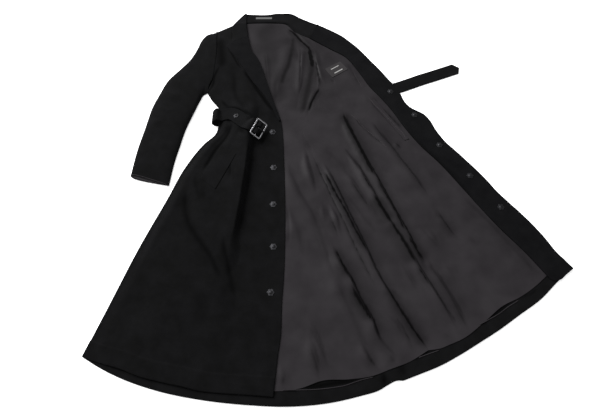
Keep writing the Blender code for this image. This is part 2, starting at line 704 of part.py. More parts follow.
def make_belt(floor_rows):
    middle = np.concatenate(
        [floor_rows, belt_side_rows(), belt_top_rows(), belt_hook_rows()]
    )
    under, over = thicken(middle, BELT_WALL)
    belt = wall("belt", under, over, "black_wool")
    remember(under[len(floor_rows) + len(BELT_TURN):-BELT_HOOK_ROWS])
    slot = box_object("prong_slot", (15.0, PRONG_SLOT, 16.0), None, CUTTERS)
    slot.matrix_world = in_metres(buckle_place())
    slot.hide_render = True
    slot.display_type = "WIRE"
    cut = belt.modifiers.new("prong slot", "BOOLEAN")
    cut.object = slot
    return belt


def box_object(name, size, finish, collection=COLLECTION):
    bm = bmesh.new()
    bmesh.ops.create_cube(bm, size=1.0)
    bmesh.ops.scale(bm, vec=Vector(size) * MM, verts=bm.verts)
    return add_object(name, mesh_of(name, bm), finish, collection)


def make_buckle():
    """A frame with two windows, cut from one plate, its bars rounded by a bevel."""
    place = buckle_place()
    frame = box_object("buckle_frame", (BUCKLE_WIDTH, BUCKLE_LENGTH, BUCKLE_THICKNESS), "gunmetal")
    frame.matrix_world = in_metres(place)
    window = BUCKLE_WIDTH / 2 - BUCKLE_BAR - CENTRE_BAR / 2
    for side, name in ((-1, "window_left"), (1, "window_right")):
        size = (window, BUCKLE_LENGTH - 2 * BUCKLE_BAR, BUCKLE_THICKNESS * 3)
        cutter = box_object(name, size, None, CUTTERS)
        middle = side * (CENTRE_BAR / 2 + window / 2)
        cutter.matrix_world = in_metres(place @ Matrix.Translation((middle, 0.0, 0.0)))
        cutter.hide_render = True
        cutter.display_type = "WIRE"
        cut = frame.modifiers.new(name, "BOOLEAN")
        cut.object = cutter
    bevel = frame.modifiers.new("rounded bars", "BEVEL")
    bevel.width = 0.6 * MM
    bevel.segments = 1
    bevel.limit_method = "ANGLE"
    return frame


def make_prong():
    """A wire bent round the centre bar and laid on the right bar, with its origin on the bar's axis."""
    start_angle, end_angle = math.radians(-62), math.radians(-285)
    path = [
        (PRONG_LOOP * math.cos(a), PRONG_LOOP * math.sin(a))
        for a in np.linspace(start_angle, end_angle, 12)
    ]
    path += [(5.0, 3.7), (9.0, 3.45), (13.0, PRONG_REST + 0.1), (PRONG_REACH, PRONG_REST)]
    data = bpy.data.curves.new("prong", "CURVE")
    data.dimensions = "3D"
    data.bevel_depth = PRONG_WIRE * MM
    data.bevel_resolution = 2
    data.use_fill_caps = True
    spline = data.splines.new("POLY")
    spline.points.add(len(path) - 1)
    for point, (d, h) in zip(spline.points, path):
        point.co = (d * MM, 0.0, h * MM, 1.0)
    made = bpy.data.objects.new("buckle_prong", data)
    data.materials.append(material("gunmetal"))
    made.matrix_world = in_metres(buckle_place())
    weld = made.modifiers.new("closed ends", "WELD")
    weld.merge_threshold = 0.00001
    bpy.data.collections[COLLECTION].objects.link(made)
    return made


def stud_mesh(share=1.0):
    """A sewn press stud: a lobed plate with a round knob, lofted through rings."""
    angles = np.linspace(0, 2 * math.pi, STUD_SEGMENTS, endpoint=False)
    bm = bmesh.new()
    rings = []
    for radius, height, lobe in STUD_PROFILE:
        reach = STUD_RADIUS * share * radius * (1 + lobe * np.cos(STUD_LOBES * angles))
        rings.append(
            [bm.verts.new((r * math.cos(a) * MM, r * math.sin(a) * MM, height * share * MM))
             for r, a in zip(reach, angles)]
        )
    for low, high in zip(rings, rings[1:]):
        for k in range(STUD_SEGMENTS):
            n = (k + 1) % STUD_SEGMENTS
            bm.faces.new((low[k], low[n], high[n], high[k]))
    bm.faces.new(rings[0])
    bm.faces.new(rings[-1])
    return mesh_of("press_stud", bm)


def seat(x, y, reach):
    """Where a round foot rests on what lies below: the height of its middle, and the slope it takes."""
    step = np.arange(-reach, reach + 1, 1.0)
    dx, dy = (a.ravel() for a in np.meshgrid(step, step))
    inside = np.hypot(dx, dy) <= reach
    dx, dy = dx[inside], dy[inside]
    heights = lying[map_cells(x + dx, y + dy)]
    plane = np.column_stack([dx, dy, np.ones_like(dx)])
    (slope_x, slope_y, _), *_ = np.linalg.lstsq(plane, heights, rcond=None)
    middle = (heights - slope_x * dx - slope_y * dy).max()
    return middle + LAY_GAP, Vector((-slope_x, -slope_y, 1.0)).normalized()


def make_studs(prefix, places, mesh, share=1.0):
    for number, (x, y) in enumerate(places, 1):
        name = f"{prefix}_{number}" if len(places) > 1 else prefix
        stud = add_object(name, mesh, "gunmetal" if not mesh.materials else None)
        z, normal = seat(x, y, STUD_RADIUS * share)
        stud.location = Vector((x, y, z)) * MM
        stud.rotation_mode = "QUATERNION"
        stud.rotation_quaternion = Vector((0.0, 0.0, 1.0)).rotation_difference(normal)


def collar_rows():
    """The collar's two layers as grids: the stand from its seam to the roll, the fall from the roll to its foot."""
    columns = even(14)
    seam, roll, foot = (smooth_line(edge)(columns) for edge in (STAND_SEAM, STAND_ROLL, FALL_FOOT))
    out = roll - seam
    out /= np.linalg.norm(out, axis=1)[:, None]
    roll = roll - out * (COLLAR_ROLL_RADIUS + WOOL / 2)
    stand = np.array([seam + (roll - seam) * v for v in (0.0, 0.35, 0.7, 1.0)])
    fall = np.array([roll + (foot - roll) * v for v in (0.0, 0.5, 1.0)])
    level = np.zeros(stand.shape[:2] + (1,))
    return np.dstack([stand, level]), np.dstack([fall, level[:3]])


def make_collar():
    """Stand and fall in one piece, joined by a soft roll along the neck."""
    stand, fall = collar_rows()
    stand = let_down(stand)
    stand[..., 2] += WOOL / 2 + 0.3
    stand[-1, :, 2] = np.maximum(stand[-1, :, 2], WOOL / 2 + 2 * COLLAR_ROLL_RADIUS)
    fall[..., 2] = WOOL / 2
    low, high = fall[0, :, 2], stand[-1, :, 2]
    out = stand[-1, :, :2] - stand[0, :, :2]
    out /= np.linalg.norm(out, axis=1)[:, None]
    turn = []
    for angle in np.radians((60, 30, 0, -30, -60)):
        plan = stand[-1, :, :2] + out * COLLAR_ROLL_RADIUS * math.cos(angle)
        turn.append(np.column_stack([plan, (low + high) / 2 + (high - low) / 2 * math.sin(angle)]))
    middle = np.concatenate([stand, np.array(turn), fall])
    under, over = thicken(middle, WOOL)
    remember(np.where((under[..., 2] > over[..., 2])[..., None], under, over)[:4])
    return wall("collar", under, over, "black_wool")


def inset(plan, side):
    """Draws one edge column of a plan back from its neighbour's edge by the seam gap."""
    edge, nearer = (0, 1) if side == "left" else (-1, -2)
    way = plan[:, nearer] - plan[:, edge]
    plan[:, edge] += way / np.linalg.norm(way, axis=1)[:, None] * SEAM_GAP
    return plan


def build():
    start()

    # What lies lowest: the belt below the coat, the rolled-under lapel and collar, the left sleeve
    floor_rows = belt_floor_rows()
    top = floor_rows.copy()
    top[..., 2] = BELT_WALL
    remember(top)
    lapel = patch(LEFT_LAPEL_FOOT, LEFT_LAPEL_TOP, LEFT_LAPEL_EDGE, LEFT_LAPEL_ROLL, even(3), even(10))
    lay("left_lapel", lapel, "black_wool_facing")
    _, fall = collar_rows()
    top = fall.copy()
    top[..., 2] = WOOL
    remember(top)
    make_sleeve_left()

    # The body, outer side down
    columns = np.append(even(12)[:-1], (HEM_NOTCH, 1.0))
    back = patch(BACK_HEM, BACK_TOP, BACK_SIDE, SIDE_SEAM, columns, hem_rows(22))
    back = inset(back, "right")
    lay("back", back, "black_wool", hem_thickness(*back.shape[:2]))
    left = patch(LEFT_HEM, LEFT_TOP, SIDE_SEAM, LEFT_EDGE, even(10), hem_rows(24))
    left = inset(left, "left")
    lay("left_front", left, "black_wool", hem_thickness(*left.shape[:2]))

    # What lies on it, inner side up
    lining = patch(BACK_LINING_HEM, BACK_LINING_TOP, BACK_LINING_SIDE, LINING_SEAM, even(15), even(24))
    lay("back_lining", inset(lining, "right"), "charcoal_lining", LINING, folds=BACK_LINING_FOLDS)
    lining = patch(LEFT_LINING_HEM, LEFT_LINING_TOP, LINING_SEAM, FACING_SEAM, even(14), even(24))
    lining = inset(inset(lining, "left"), "right")
    lay("left_front_lining", lining, "charcoal_lining", LINING, folds=LEFT_LINING_FOLDS)
    facing = patch(FACING_FOOT, GORGE_LEFT, FACING_SEAM, LEFT_EDGE, even(4), even(34))
    lay("left_facing", inset(facing, "left"), "black_wool_facing")
    make_collar()
    lay("inner_pocket_welt", corner_plan(INNER_WELT, 2, 8), "charcoal_lining", WELT_WALL)
    corners = turned_rectangle(INNER_LABEL_CENTRE, INNER_LABEL_SIZE, INNER_LABEL_TURN)
    lay("inner_label", corner_plan(corners, 4, 3), "black_tape", LABEL_WALL)
    corners = turned_rectangle(NECK_LABEL_CENTRE, NECK_LABEL_SIZE, 0.0)
    lay("neck_label", corner_plan(corners, 4, 1), "pale_tape", LABEL_WALL)

    # The closed right front and its sleeve
    columns = np.concatenate([[0.0, 0.035], np.linspace(0.09, 0.5, 7), np.linspace(0.55, 1.0, 12)])
    rows = hem_rows(36)
    front = patch(FRONT_HEM, FRONT_TOP, FRONT_SIDE, FRONT_EDGE, columns, rows)
    across = np.tile(columns, (len(rows), 1))
    height = front_height(front[..., 0], front[..., 1], across)
    lay("right_front", front, "black_wool", hem_thickness(*across.shape), own_height=height)
    make_sleeve_right((back[18:, 0], front[22:, 0]))

    flap = corner_plan(POCKET_FLAP, 5, 10)
    lay("pocket_flap", flap, "black_wool", FLAP_WALL)
    lapel = patch(LAPEL_FOOT, GORGE_RIGHT, LAPEL_EDGE, ROLL_LINE, even(5), even(20))
    lay("right_lapel", lapel, "black_wool_facing", LAPEL_WALL)
    leaf = patch(LEAF_FOOT, LEAF_TOP, LEAF_OUTER, LEAF_ROLL, even(5), even(10))
    lay("collar_leaf", leaf, "black_wool", LAPEL_WALL)

    # Belt, buckle and studs
    make_belt(floor_rows)
    make_buckle()
    make_prong()
    mesh = stud_mesh()
    make_studs("front_stud", STUDS_RIGHT, mesh)
    make_studs("facing_stud", STUDS_LEFT, mesh)
    make_studs("belt_stud", (BELT_STUD,), stud_mesh(BELT_STUD_SHARE), BELT_STUD_SHARE)


build()
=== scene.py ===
import math

import bpy
import numpy as np
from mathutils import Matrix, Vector


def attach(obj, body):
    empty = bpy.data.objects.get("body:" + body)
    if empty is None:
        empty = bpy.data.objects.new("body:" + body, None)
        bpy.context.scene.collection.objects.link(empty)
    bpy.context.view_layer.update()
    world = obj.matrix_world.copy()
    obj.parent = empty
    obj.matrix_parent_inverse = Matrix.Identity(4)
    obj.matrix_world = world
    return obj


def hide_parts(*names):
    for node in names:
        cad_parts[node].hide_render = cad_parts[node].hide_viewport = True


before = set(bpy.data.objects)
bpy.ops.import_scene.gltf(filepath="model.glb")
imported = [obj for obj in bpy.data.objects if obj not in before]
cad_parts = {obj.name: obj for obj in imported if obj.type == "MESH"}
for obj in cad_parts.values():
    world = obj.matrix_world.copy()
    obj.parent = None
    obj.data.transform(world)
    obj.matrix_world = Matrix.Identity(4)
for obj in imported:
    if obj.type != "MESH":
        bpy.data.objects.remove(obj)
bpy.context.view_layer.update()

# A long belted wool coat, laid on its back with its right front closed and its left front opened out.
#
# Every cut piece is a closed shell of cloth. Its plan is a patch between four smooth edges. It comes down
# on a map of the heights that already lie there, is carried smoothly over their steps, and gets its folds as
# soft ridges. Tables and surfaces are in millimetres, and piece() turns them to metres.

MM = 0.001

# Walls of the cloth, and the air left between two layers
WOOL = 2.5
WOOL_TURNED_UP = 4.4
LAPEL_WALL = 3.4
LINING = 0.9
BELT_WALL = 3.0
FLAP_WALL = 2.2
WELT_WALL = 1.2
LABEL_WALL = 0.7
BAR_WALL = 0.3
AIR = 0.35
SEAM_OVERLAP = 0.4
SEAM_CORD = 3.4
SEAM_CORD_LIFT = 1.2
# Radii of the lighter satin cords that paint highlights on the hem's and the cuff's edges
HEM_HIGHLIGHT_RADIUS = 1.1
CUFF_HIGHLIGHT_RADIUS = 0.9
BELT_OVER_FRONT = 0.9
FLAP_LIFT = -1.2

# Collar: how it is set into its neighbours, and the rows of its stand, roll and fall
GORGE_CLOSED = 5.0
STAND_SUNK = 5.0
STAND_OVER = 4.0
STAND_ROWS = 16
ROLL_ROWS = 11
ROLL_END = 75.0
FALL_ROWS = 14

# Turned-up hem: its depth as a share of the length, and the soft step at its top
HEM_SHARE = 0.034
HEM_STEP_TOP = 0.003
HEM_STEP = 0.004
HEM_STEP_ROWS = (-0.0008, 0.0008, 0.0024)

# The right front's step down from its crest gets steeper over a stretch up the coat
STEEPER = 0.5
STEEPER_FROM = -270.0
STEEPER_STRETCH = 70.0

# Floor, and how far painted shade in a crease darkens wool and satin, with the power that gathers satin's
# painted shade in its middle
FLOOR_SIDE = 300.0
FLOOR_LEVEL = -0.0002
WOOL_PAINTED_SHADE = 0.95
SATIN_PAINTED_SHADE = 0.93
PAINTED_SHADE_CORE = 1.7

# Sleeves: how much thicker the gap between their skins is than the wool, the powers that shape a ring, its
# lines, and the share of the length that the cuff takes
SKIN_GAP = 0.3
RING_SQUARE = 0.72
RING_TOP = 0.8
RING_UNDER = 0.5
RING_LINES = 60
CUFF_SHARE = 0.06
CUFF_LINING_ROWS = 9

# Grid: lines of a piece, closer near its edges, and the map's cells and lower left corner
LINE_SPACING = 5.0
EDGE_LINES = (0.0, 0.08, 0.26, 0.55, 1.0)
CELL = 2.0
MAP_SIDE = 700
MAP_LOW = np.array([-680.0, -700.0])
MARK_STEP = 1.5
STEEPEST = 0.55

# Folds: the size of unevenness and of the painted shade's waver, and the place and width of the painted shade
# at a fold's foot, and the fold's height at which it is full
UNEVEN_LENGTH = 70.0
WAVER_LENGTH = 20.0
FOOT_AT = 1.25
FOOT_WIDTH = 0.8
FOOT_DARK_FROM = 7.0

# Belt, with the shares of its pointed end, and thread
BELT_WIDTH = 45.5
BELT_ACROSS = np.array([-0.5, 0.0, 0.5]) * BELT_WIDTH
BELT_ROWS = 420
POINT_SHARES = (1.0, 0.985, 0.95, 0.85, 0.7, 0.5, 0.3, 0.12)
STITCH_PITCH = 3.2
STITCH_LENGTH = 2.4
THREAD_RADIUS = 0.35
BEAD_SHARES = (-0.97, -0.75, -0.35, 0.35, 0.75, 0.97)
BEAD_CAPS = ((0, 5, 4, 1), (1, 4, 3, 2), (30, 31, 34, 35), (31, 32, 33, 34))

# Buckle and prong
BUCKLE_LENGTH = 60.0
BUCKLE_WIDTH = 38.0
BUCKLE_BAR = 4.0
BUCKLE_THICKNESS = 3.0
BUCKLE_CORNER = 3.4
BAR_SQUARE = 0.55
CENTRE_BAR = 2.6
BUCKLE_CENTRE = (-226.0, 121.5, 31.5)
BAR_DIRECTION = (24.0, 54.0, 0.0)
BUCKLE_DOWN = (28.0, -12.4, -20.0)
PRONG_WIRE = 1.25
PRONG_LOOP = 3.55
PRONG_REST = BUCKLE_THICKNESS / 2 + PRONG_WIRE + 0.3
PRONG_REACH = 20.5
PRONG_SLOT = 9.0

# Press studs
STUD_RADIUS = 9.4
STUD_LOBES = 6
STUD_SIDES = 72
STUD_STEP = 1.5
STUD_AIR = 0.6 * AIR
DIMPLE_AT = 0.76
DIMPLE_WIDTH = 0.09
DIMPLE_DEPTH = 0.55
STUD_OUTLINE = (
    # share of the radius, height, depth of the lobes
    (0.0, 0.0, 0.0), (0.55, 0.0, 0.02), (0.86, 0.0, 0.08), (0.97, 0.18, 0.10), (1.0, 0.42, 0.11),
    (0.97, 0.66, 0.11), (0.88, 0.82, 0.09), (0.72, 0.88, 0.05), (0.56, 0.98, 0.02), (0.48, 1.25, 0.0),
    (0.43, 1.6, 0.0), (0.36, 1.85, 0.0), (0.31, 2.15, 0.0), (0.30, 2.5, 0.0), (0.27, 2.8, 0.0),
    (0.19, 3.0, 0.0), (0.08, 3.05, 0.0), (0.0, 3.05, 0.0),
)

# Press studs on the right front and on the left facing, at 130 mm spacing along the edge
STUDS_RIGHT = ((-184, 125), (-178, -4), (-176, -128), (-172, -259), (-176, -388))
STUDS_LEFT = ((195, 286), (264, 193), (328, 78), (404, -31), (475, -136))
BELT_STUD = (-299, 175)
BELT_STUD_SHARE = 0.82

# Edges of the cut pieces, as places that each smooth edge runs through
BACK_HEM = (
    (-636, -551), (-590, -576), (-535, -600), (-434, -631), (-337, -649), (-217, -661), (-123, -664),
    (-29, -656), (43, -641), (92, -627), (112, -616), (135, -606), (150, -606),
)
BACK_SIDE = (
    (-636, -551), (-593, -420), (-541, -262), (-480, -102), (-447, -11), (-394, 83), (-361, 122),
    (-355, 170), (-357, 212), (-390, 262), (-400, 282), (-389, 330), (-385, 400), (-385, 466), (-393, 559),
)
SIDE_SEAM = (
    (150, -606), (125, -550), (95, -473), (38, -349), (-4, -255), (-24, -150), (-50, -30), (-74, 60),
    (-90, 138), (-72, 215), (-48, 300), (-50, 400), (-76, 480), (-112, 545), (-140, 598),
)
BACK_TOP = ((-393, 559), (-340, 587), (-291, 603), (-213, 605), (-140, 598))

LEFT_HEM = (
    (150, -606), (192, -591), (243, -572), (296, -546), (350, -516), (406, -484), (465, -446), (526, -407),
    (591, -352), (634, -321),
)
LEFT_EDGE = (
    (634, -321), (606, -282), (569, -214), (528, -154), (482, -95), (437, -24), (387, 43), (347, 94),
    (325, 135), (311, 174), (295, 198), (277, 210), (254, 226), (237, 250), (228, 279), (216, 305),
    (203, 324), (169, 381), (138, 426), (107, 472), (75, 510), (41, 544), (7, 568), (-35, 593),
)
LEFT_TOP = ((-140, 598), (-112, 575), (-80, 564), (-35, 593))

LINING_SEAM = (
    (218, -535), (178, -474), (135, -383), (107, -342), (76, -285), (52, -226), (27, -164), (1, -100),
    (-26, -32), (-51, 38), (-90, 138), (-72, 215), (-42, 300), (-45, 385), (-66, 472), (-98, 528),
    (-122, 562),
)
BACK_LINING_HEM = (
    (-596, -524), (-535, -556), (-434, -589), (-337, -608), (-217, -621), (-160, -630), (-100, -624),
    (-45, -606), (20, -603), (74, -596), (120, -580), (170, -562), (218, -535),
)
BACK_LINING_SIDE = (
    (-596, -524), (-566, -420), (-515, -262), (-454, -102), (-420, -11), (-370, 80), (-342, 122),
    (-338, 170), (-340, 212), (-368, 262), (-378, 330), (-374, 400), (-374, 466), (-380, 528),
)
BACK_LINING_TOP = ((-380, 528), (-335, 570), (-289, 597), (-213, 600), (-150, 595), (-122, 562))
LEFT_LINING_HEM = (
    (218, -535), (247, -531), (274, -521), (308, -507), (368, -466), (425, -423), (474, -400), (520, -371),
    (557, -342),
)
FACING_SEAM = (
    (557, -342), (529, -296), (502, -258), (465, -210), (414, -134), (368, -62), (320, 11), (267, 76),
    (230, 135), (193, 207), (171, 243), (130, 301), (91, 379), (54, 438), (10, 470), (-30, 500),
    (-64, 526),
)
LEFT_LINING_TOP = ((-122, 562), (-96, 543), (-64, 526))
FACING_FOOT = ((557, -342), (568, -354), (590, -353), (612, -337), (634, -321))
GORGE_LEFT = ((-64, 526), (-49, 561), (-35, 593))

FRONT_HEM = (
    (-636, -549), (-588, -564), (-536, -578), (-485, -596), (-435, -608), (-386, -618), (-337, -629),
    (-289, -634), (-242, -637), (-163, -643),
)
FRONT_SIDE = BACK_SIDE[:-1] + ((-393, 560),)
FRONT_EDGE = (
    (-163, -643), (-159, -600), (-155, -554), (-149, -510), (-146, -408), (-142, -326), (-141, -239),
    (-143, -114), (-148, 22), (-154, 125), (-159, 166), (-172, 206), (-186, 246), (-201, 296), (-211, 330),
    (-227, 387), (-245, 432), (-264, 464), (-281, 530), (-290, 603),
)
FRONT_TOP = ((-393, 560), (-362, 576), (-335, 591), (-290, 603))

ROLL_LINE = (
    (-161, 168), (-172, 206), (-186, 246), (-201, 296), (-211, 330), (-227, 387), (-245, 432), (-264, 464),
    (-281, 530),
)
LAPEL_EDGE = (
    (-168, 168), (-195, 231), (-222, 276), (-257, 326), (-282, 370), (-308, 414), (-334, 455), (-354, 488),
)
LAPEL_FOOT = ((-168, 168), (-164, 165), (-161, 168))
GORGE_RIGHT = ((-354, 488), (-330, 505), (-281, 530))

LEAF_FOOT = ((-332, 508), (-310, 520), (-281, 533))
LEAF_OUTER = ((-332, 508), (-336, 545), (-339, 580), (-326, 612), (-300, 651))
LEAF_ROLL = ((-281, 533), (-288, 580), (-291, 615), (-291, 651))
LEAF_TOP = ((-300, 651), (-295, 653), (-291, 651))

STAND_SEAM = (
    (-294, 605), (-260, 607), (-213, 609), (-165, 606), (-140, 600), (-122, 566), (-98, 545), (-65, 529),
)
STAND_ROLL = (
    (-297, 650), (-258, 648), (-237, 647), (-208, 649), (-190, 653), (-157, 655), (-132, 653), (-100, 632),
    (-64, 611), (-36, 597),
)
FALL_FOOT = ((-318, 596), (-289, 590), (-213, 586), (-160, 586), (-128, 556), (-60, 548))
COLLAR_ROLL_RADIUS = 2.3

LEFT_LAPEL_ROLL = (
    (206, 318), (169, 380), (138, 425), (107, 471), (75, 509), (41, 543), (7, 567), (-34, 595),
)
LEFT_LAPEL_EDGE = ((200, 316), (150, 345), (100, 385), (50, 430), (10, 470), (-40, 500))
LEFT_LAPEL_FOOT = ((200, 316), (203, 316), (206, 318))
LEFT_LAPEL_TOP = ((-40, 500), (-38, 550), (-34, 595))

# Right sleeve
SLEEVE_OUTER = (
    (-602, -24), (-596, 58), (-584, 144), (-571, 232), (-556, 281), (-536, 338), (-505, 382), (-475, 426),
    (-456, 472), (-440, 526), (-428, 545), (-393.4, 560),
)
SLEEVE_INNER = (
    (-484, -64), (-476, 23), (-467, 78), (-458, 131), (-447, 173), (-435, 213), (-423, 252), (-413, 276),
    (-402.0, 284),
)
SLEEVE_CUFF = ((-602, -24), (-545, -44), (-484, -64))
ARMHOLE = ((-393.4, 560), (-385.5, 466), (-385.5, 400), (-390.0, 330), (-402.0, 284))
SLEEVE_TOP_HEIGHTS = ((0.0, 12.5), (0.12, 15.0), (0.45, 18.0), (0.8, 17.0), (1.0, 12.0))
CUFF_LOWER_SHIFT = 15.0
ARMPIT_EASE = 14.0

# Left sleeve, which lies hidden below the opened front
HIDDEN_OUTER = (
    (330, -180), (300, -60), (262, 60), (218, 170), (165, 260), (110, 340), (55, 405), (-5, 450),
    (-62, 472),
)
HIDDEN_INNER = ((212, -200), (170, -90), (130, 10), (85, 90), (40, 145), (-10, 195), (-60, 226))
HIDDEN_CUFF = ((330, -180), (272, -192), (212, -200))
HIDDEN_HEAD = ((-62, 472), (-38, 350), (-60, 226))
HIDDEN_HEIGHT = 6.0

# Belt: places along its middle, from the pointed end to the side of the waist, and back over the front
BELT_BELOW = (
    (414, 387), (352, 362), (281, 334), (248, 319), (216, 307), (150, 285), (60, 250), (-100, 208),
    (-250, 182), (-357, 175),
)
BELT_TURN = (
    # x, y, height at the side of the waist
    (-363, 175, 2.4),
    (-370, 175, 6.0),
    (-374.5, 176, 13.0),
    (-371.5, 178, 20.0),
    (-362, 182, 25.5),
)
BELT_ABOVE = ((-348, 186), (-335, 188), (-319, 188), (-303, 180), (-288, 166), (-276, 154), (-266, 145))
BELT_POINT = 16.0
BELT_SHOULDER = 11.0
BELT_HOOK = (
    # across the buckle and above its middle plane, from the left bar round the centre bar
    (-27.0, -5.2),
    (-21.0, -4.3),
    (-16.0, -3.75),
    (-10.0, -1.2),
    (-5.0, 2.6),
    (0.0, 4.2),
    (3.4, 2.6),
    (4.4, -0.4),
    (3.0, -3.2),
    (-1.0, -4.6),
    (-7.0, -5.9),
    (-14.0, -7.2),
    (-22.0, -8.0),
)

# Right pocket flap, welts of the inside pockets and labels: places of their corners
POCKET_FLAP = ((-390, -49), (-343, -86), (-290, 31), (-338, 71))
INNER_WELT = ((222, 92), (236, 98), (140, 250), (126, 244))
INNER_LABEL_CENTRE = (22, 380)
INNER_LABEL_SIZE = (64, 44)
INNER_LABEL_TURN = 34.0
NECK_LABEL_CENTRE = (-229, 628)
NECK_LABEL_SIZE = (58, 10)
# Right front, height of its underside across the piece in sections along its length
FRONT_SECTIONS = (
    # y, edge, side at, side, body at, body, crest at, crest, foot at, strip
    (-650, 2.9, 0.06, 3.6, 0.35, 5.0, 0.58, 5.2, 0.80, 4.4),
    (-560, 2.9, 0.07, 5.5, 0.35, 9.0, 0.60, 9.0, 0.80, 4.4),
    (-430, 2.9, 0.08, 8.0, 0.38, 14.0, 0.60, 13.0, 0.76, 4.4),
    (-280, 2.9, 0.09, 11.0, 0.38, 17.0, 0.61, 19.0, 0.71, 4.4),
    (-200, 2.9, 0.10, 13.0, 0.38, 18.0, 0.62, 25.0, 0.70, 4.4),
    (-100, 2.9, 0.10, 14.0, 0.38, 19.0, 0.62, 28.0, 0.705, 4.4),
    (0, 2.9, 0.12, 15.0, 0.38, 21.0, 0.61, 30.0, 0.715, 4.4),
    (60, 2.9, 0.14, 15.0, 0.37, 22.0, 0.58, 31.5, 0.735, 4.4),
    (110, 3.0, 0.15, 15.0, 0.36, 23.0, 0.51, 32.0, 0.84, 4.6),
    (160, 3.2, 0.15, 14.0, 0.36, 22.0, 0.50, 28.0, 0.88, 5.5),
    (230, 3.4, 0.15, 12.0, 0.40, 16.0, 0.62, 16.0, 0.90, 8.0),
    (285, 3.4, 0.15, 9.0, 0.40, 13.5, 0.65, 13.0, 0.90, 9.0),
    (330, 8.0, 0.15, 9.5, 0.40, 13.0, 0.65, 12.0, 0.90, 9.0),
    (450, 9.5, 0.15, 10.0, 0.40, 11.0, 0.65, 10.5, 0.90, 9.0),
    (520, 6.0, 0.15, 7.5, 0.40, 8.5, 0.65, 8.5, 0.90, 8.0),
    (545, 3.2, 0.15, 5.0, 0.40, 7.0, 0.65, 7.5, 0.90, 7.5),
    (610, 3.2, 0.15, 4.0, 0.40, 5.0, 0.65, 6.0, 0.90, 6.0),
)
LABEL_BARS = (((17, 387), (31, 3.2)), ((29, 371), (33, 3.8)))

# Folds: places along each one, its height, and its width to the right and to the left of its run
FRONT_FOLDS = (
    (((-311, 150), (-332, 105), (-350, 60), (-372, 8), (-388, -30)), -8.0, 22.0, 22.0),
    (((-433, -70), (-424, -160), (-397, -215), (-357, -260), (-319, -326)), -7.0, 30.0, 26.0),
    (((-311, -245), (-300, -300), (-288, -346), (-272, -400)), -6.0, 24.0, 24.0),
    (((-355, -370), (-327, -457), (-305, -510)), -4.5, 26.0, 26.0),
    (((-325, 420), (-315, 307), (-296, 215)), -5.0, 24.0, 24.0),
    (((-257, 95), (-255, 30), (-258, -60), (-262, -110), (-268, -180), (-275, -235)), 1.6, 14.0, 5.0),
    (((-306, 8), (-303, -30), (-301, -66)), -2.0, 5.0, 5.0),
    (((-513, -369), (-524, -430), (-536, -490)), -2.5, 30.0, 26.0),
)
BACK_LINING_FOLDS = (
    (((-112, 522), (-136, 462), (-152, 398), (-168, 354), (-176, 294), (-178, 236)), 3.5, 26.0, 14.0),
    (((-218, 480), (-209, 339), (-190, 120)), 1.5, 20.0, 9.0),
    (((-83, 480), (-93, 420), (-100, 336), (-104, 262)), 2.2, 14.0, 7.0),
    (((-13, -257), (7, -304), (34, -354), (55, -408), (82, -460), (96, -505), (124, -538)), 8.0, 19.0, 5.0),
    (((-24, -262), (-13, -326), (1, -382), (25, -435), (41, -473), (54, -525)), 4.5, 22.0, 14.0),
    (((52, -505), (60, -542), (74, -564), (97, -590)), 5.0, 18.0, 5.5),
    (((-139, 8), (-127, -41), (-112, -81), (-67, -163), (-48, -210)), 4.0, 24.0, 11.0),
    (((-84, 66), (-79, 4), (-68, -38), (-57, -90)), 4.0, 14.0, 8.0),
    (((-138, -130), (-122, -178), (-109, -215), (-94, -270)), 3.2, 18.0, 10.0),
    (((-37, -118), (-31, -159), (-30, -190)), 2.6, 10.0, 8.0),
    (((-17, -122), (-3, -156), (13, -220)), 3.6, 11.0, 5.0),
    (((-82, -485), (-68, -549), (-54, -612)), 4.6, 18.0, 8.0),
    (((-86, -448), (-59, -510), (-45, -551), (-26, -590)), 3.6, 13.0, 8.0),
    (((-150, -570), (-142, -600), (-146, -625)), 2.4, 9.0, 6.0),
    (((-68, 100), (-28, 62), (16, 26)), 2.4, 22.0, 12.0),
)
LEFT_LINING_FOLDS = (
    (((40, 205), (58, 125), (74, 84), (106, 4), (141, -81), (171, -156), (203, -233), (238, -330)), 7.5,
     17.0, 5.0),
    (((36, 70), (75, -6), (111, -88), (150, -178), (183, -239), (218, -318), (274, -435), (300, -495)),
     6.0, 13.0, 5.0),
    (((-34, 26), (8, -81), (38, -159), (70, -239), (113, -354), (167, -453), (216, -540)), 6.5, 20.0, 5.0),
    (((119, 162), (163, 84), (197, 22), (230, -34), (257, -81), (276, -110)), 5.0, 20.0, 7.0),
    (((185, 86), (207, 64)), 2.6, 8.0, 5.0),
    (((270, -138), (298, -184), (328, -224), (348, -236)), 4.4, 16.0, 6.0),
    (((18, 8), (50, -48), (71, -91), (101, -145)), 3.4, 16.0, 7.0),
    (((241, -290), (270, -357), (294, -408), (327, -495)), 4.6, 20.0, 7.0),
    (((392, -134), (446, -212), (484, -262), (511, -303), (538, -344)), 3.6, 24.0, 9.0),
    (((249, -195), (281, -270)), 2.6, 14.0, 8.0),
    (((173, -305), (207, -392)), 2.6, 12.0, 8.0),
    (((286, -300), (312, -366)), 2.4, 14.0, 10.0),
    (((112, -436), (146, -478), (160, -512)), 3.0, 10.0, 5.0),
    (((-116, 572), (-86, 524), (-52, 484)), 2.4, 7.0, 24.0),
    (((-48, 478), (-42, 434), (-50, 384)), 2.4, 7.0, 24.0),
    (((-52, 470), (-43, 407), (-30, 354), (-18, 312)), 2.0, 16.0, 9.0),
    (((-35, 305), (-58, 256), (-80, 198)), 3.0, 14.0, 6.0),
)
SLEEVE_FOLDS = (
    (((-575, 180), (-535, 160), (-490, 168)), 3.0, 16.0, 9.0),
    (((-560, 235), (-515, 200), (-468, 205)), 3.0, 18.0, 10.0),
    (((-540, 300), (-505, 262), (-470, 240)), 2.4, 16.0, 12.0),
    (((-588, 60), (-540, 70), (-500, 95)), 2.0, 20.0, 14.0),
    (((-430, 500), (-450, 400), (-480, 320)), -3.0, 22.0, 22.0),
)
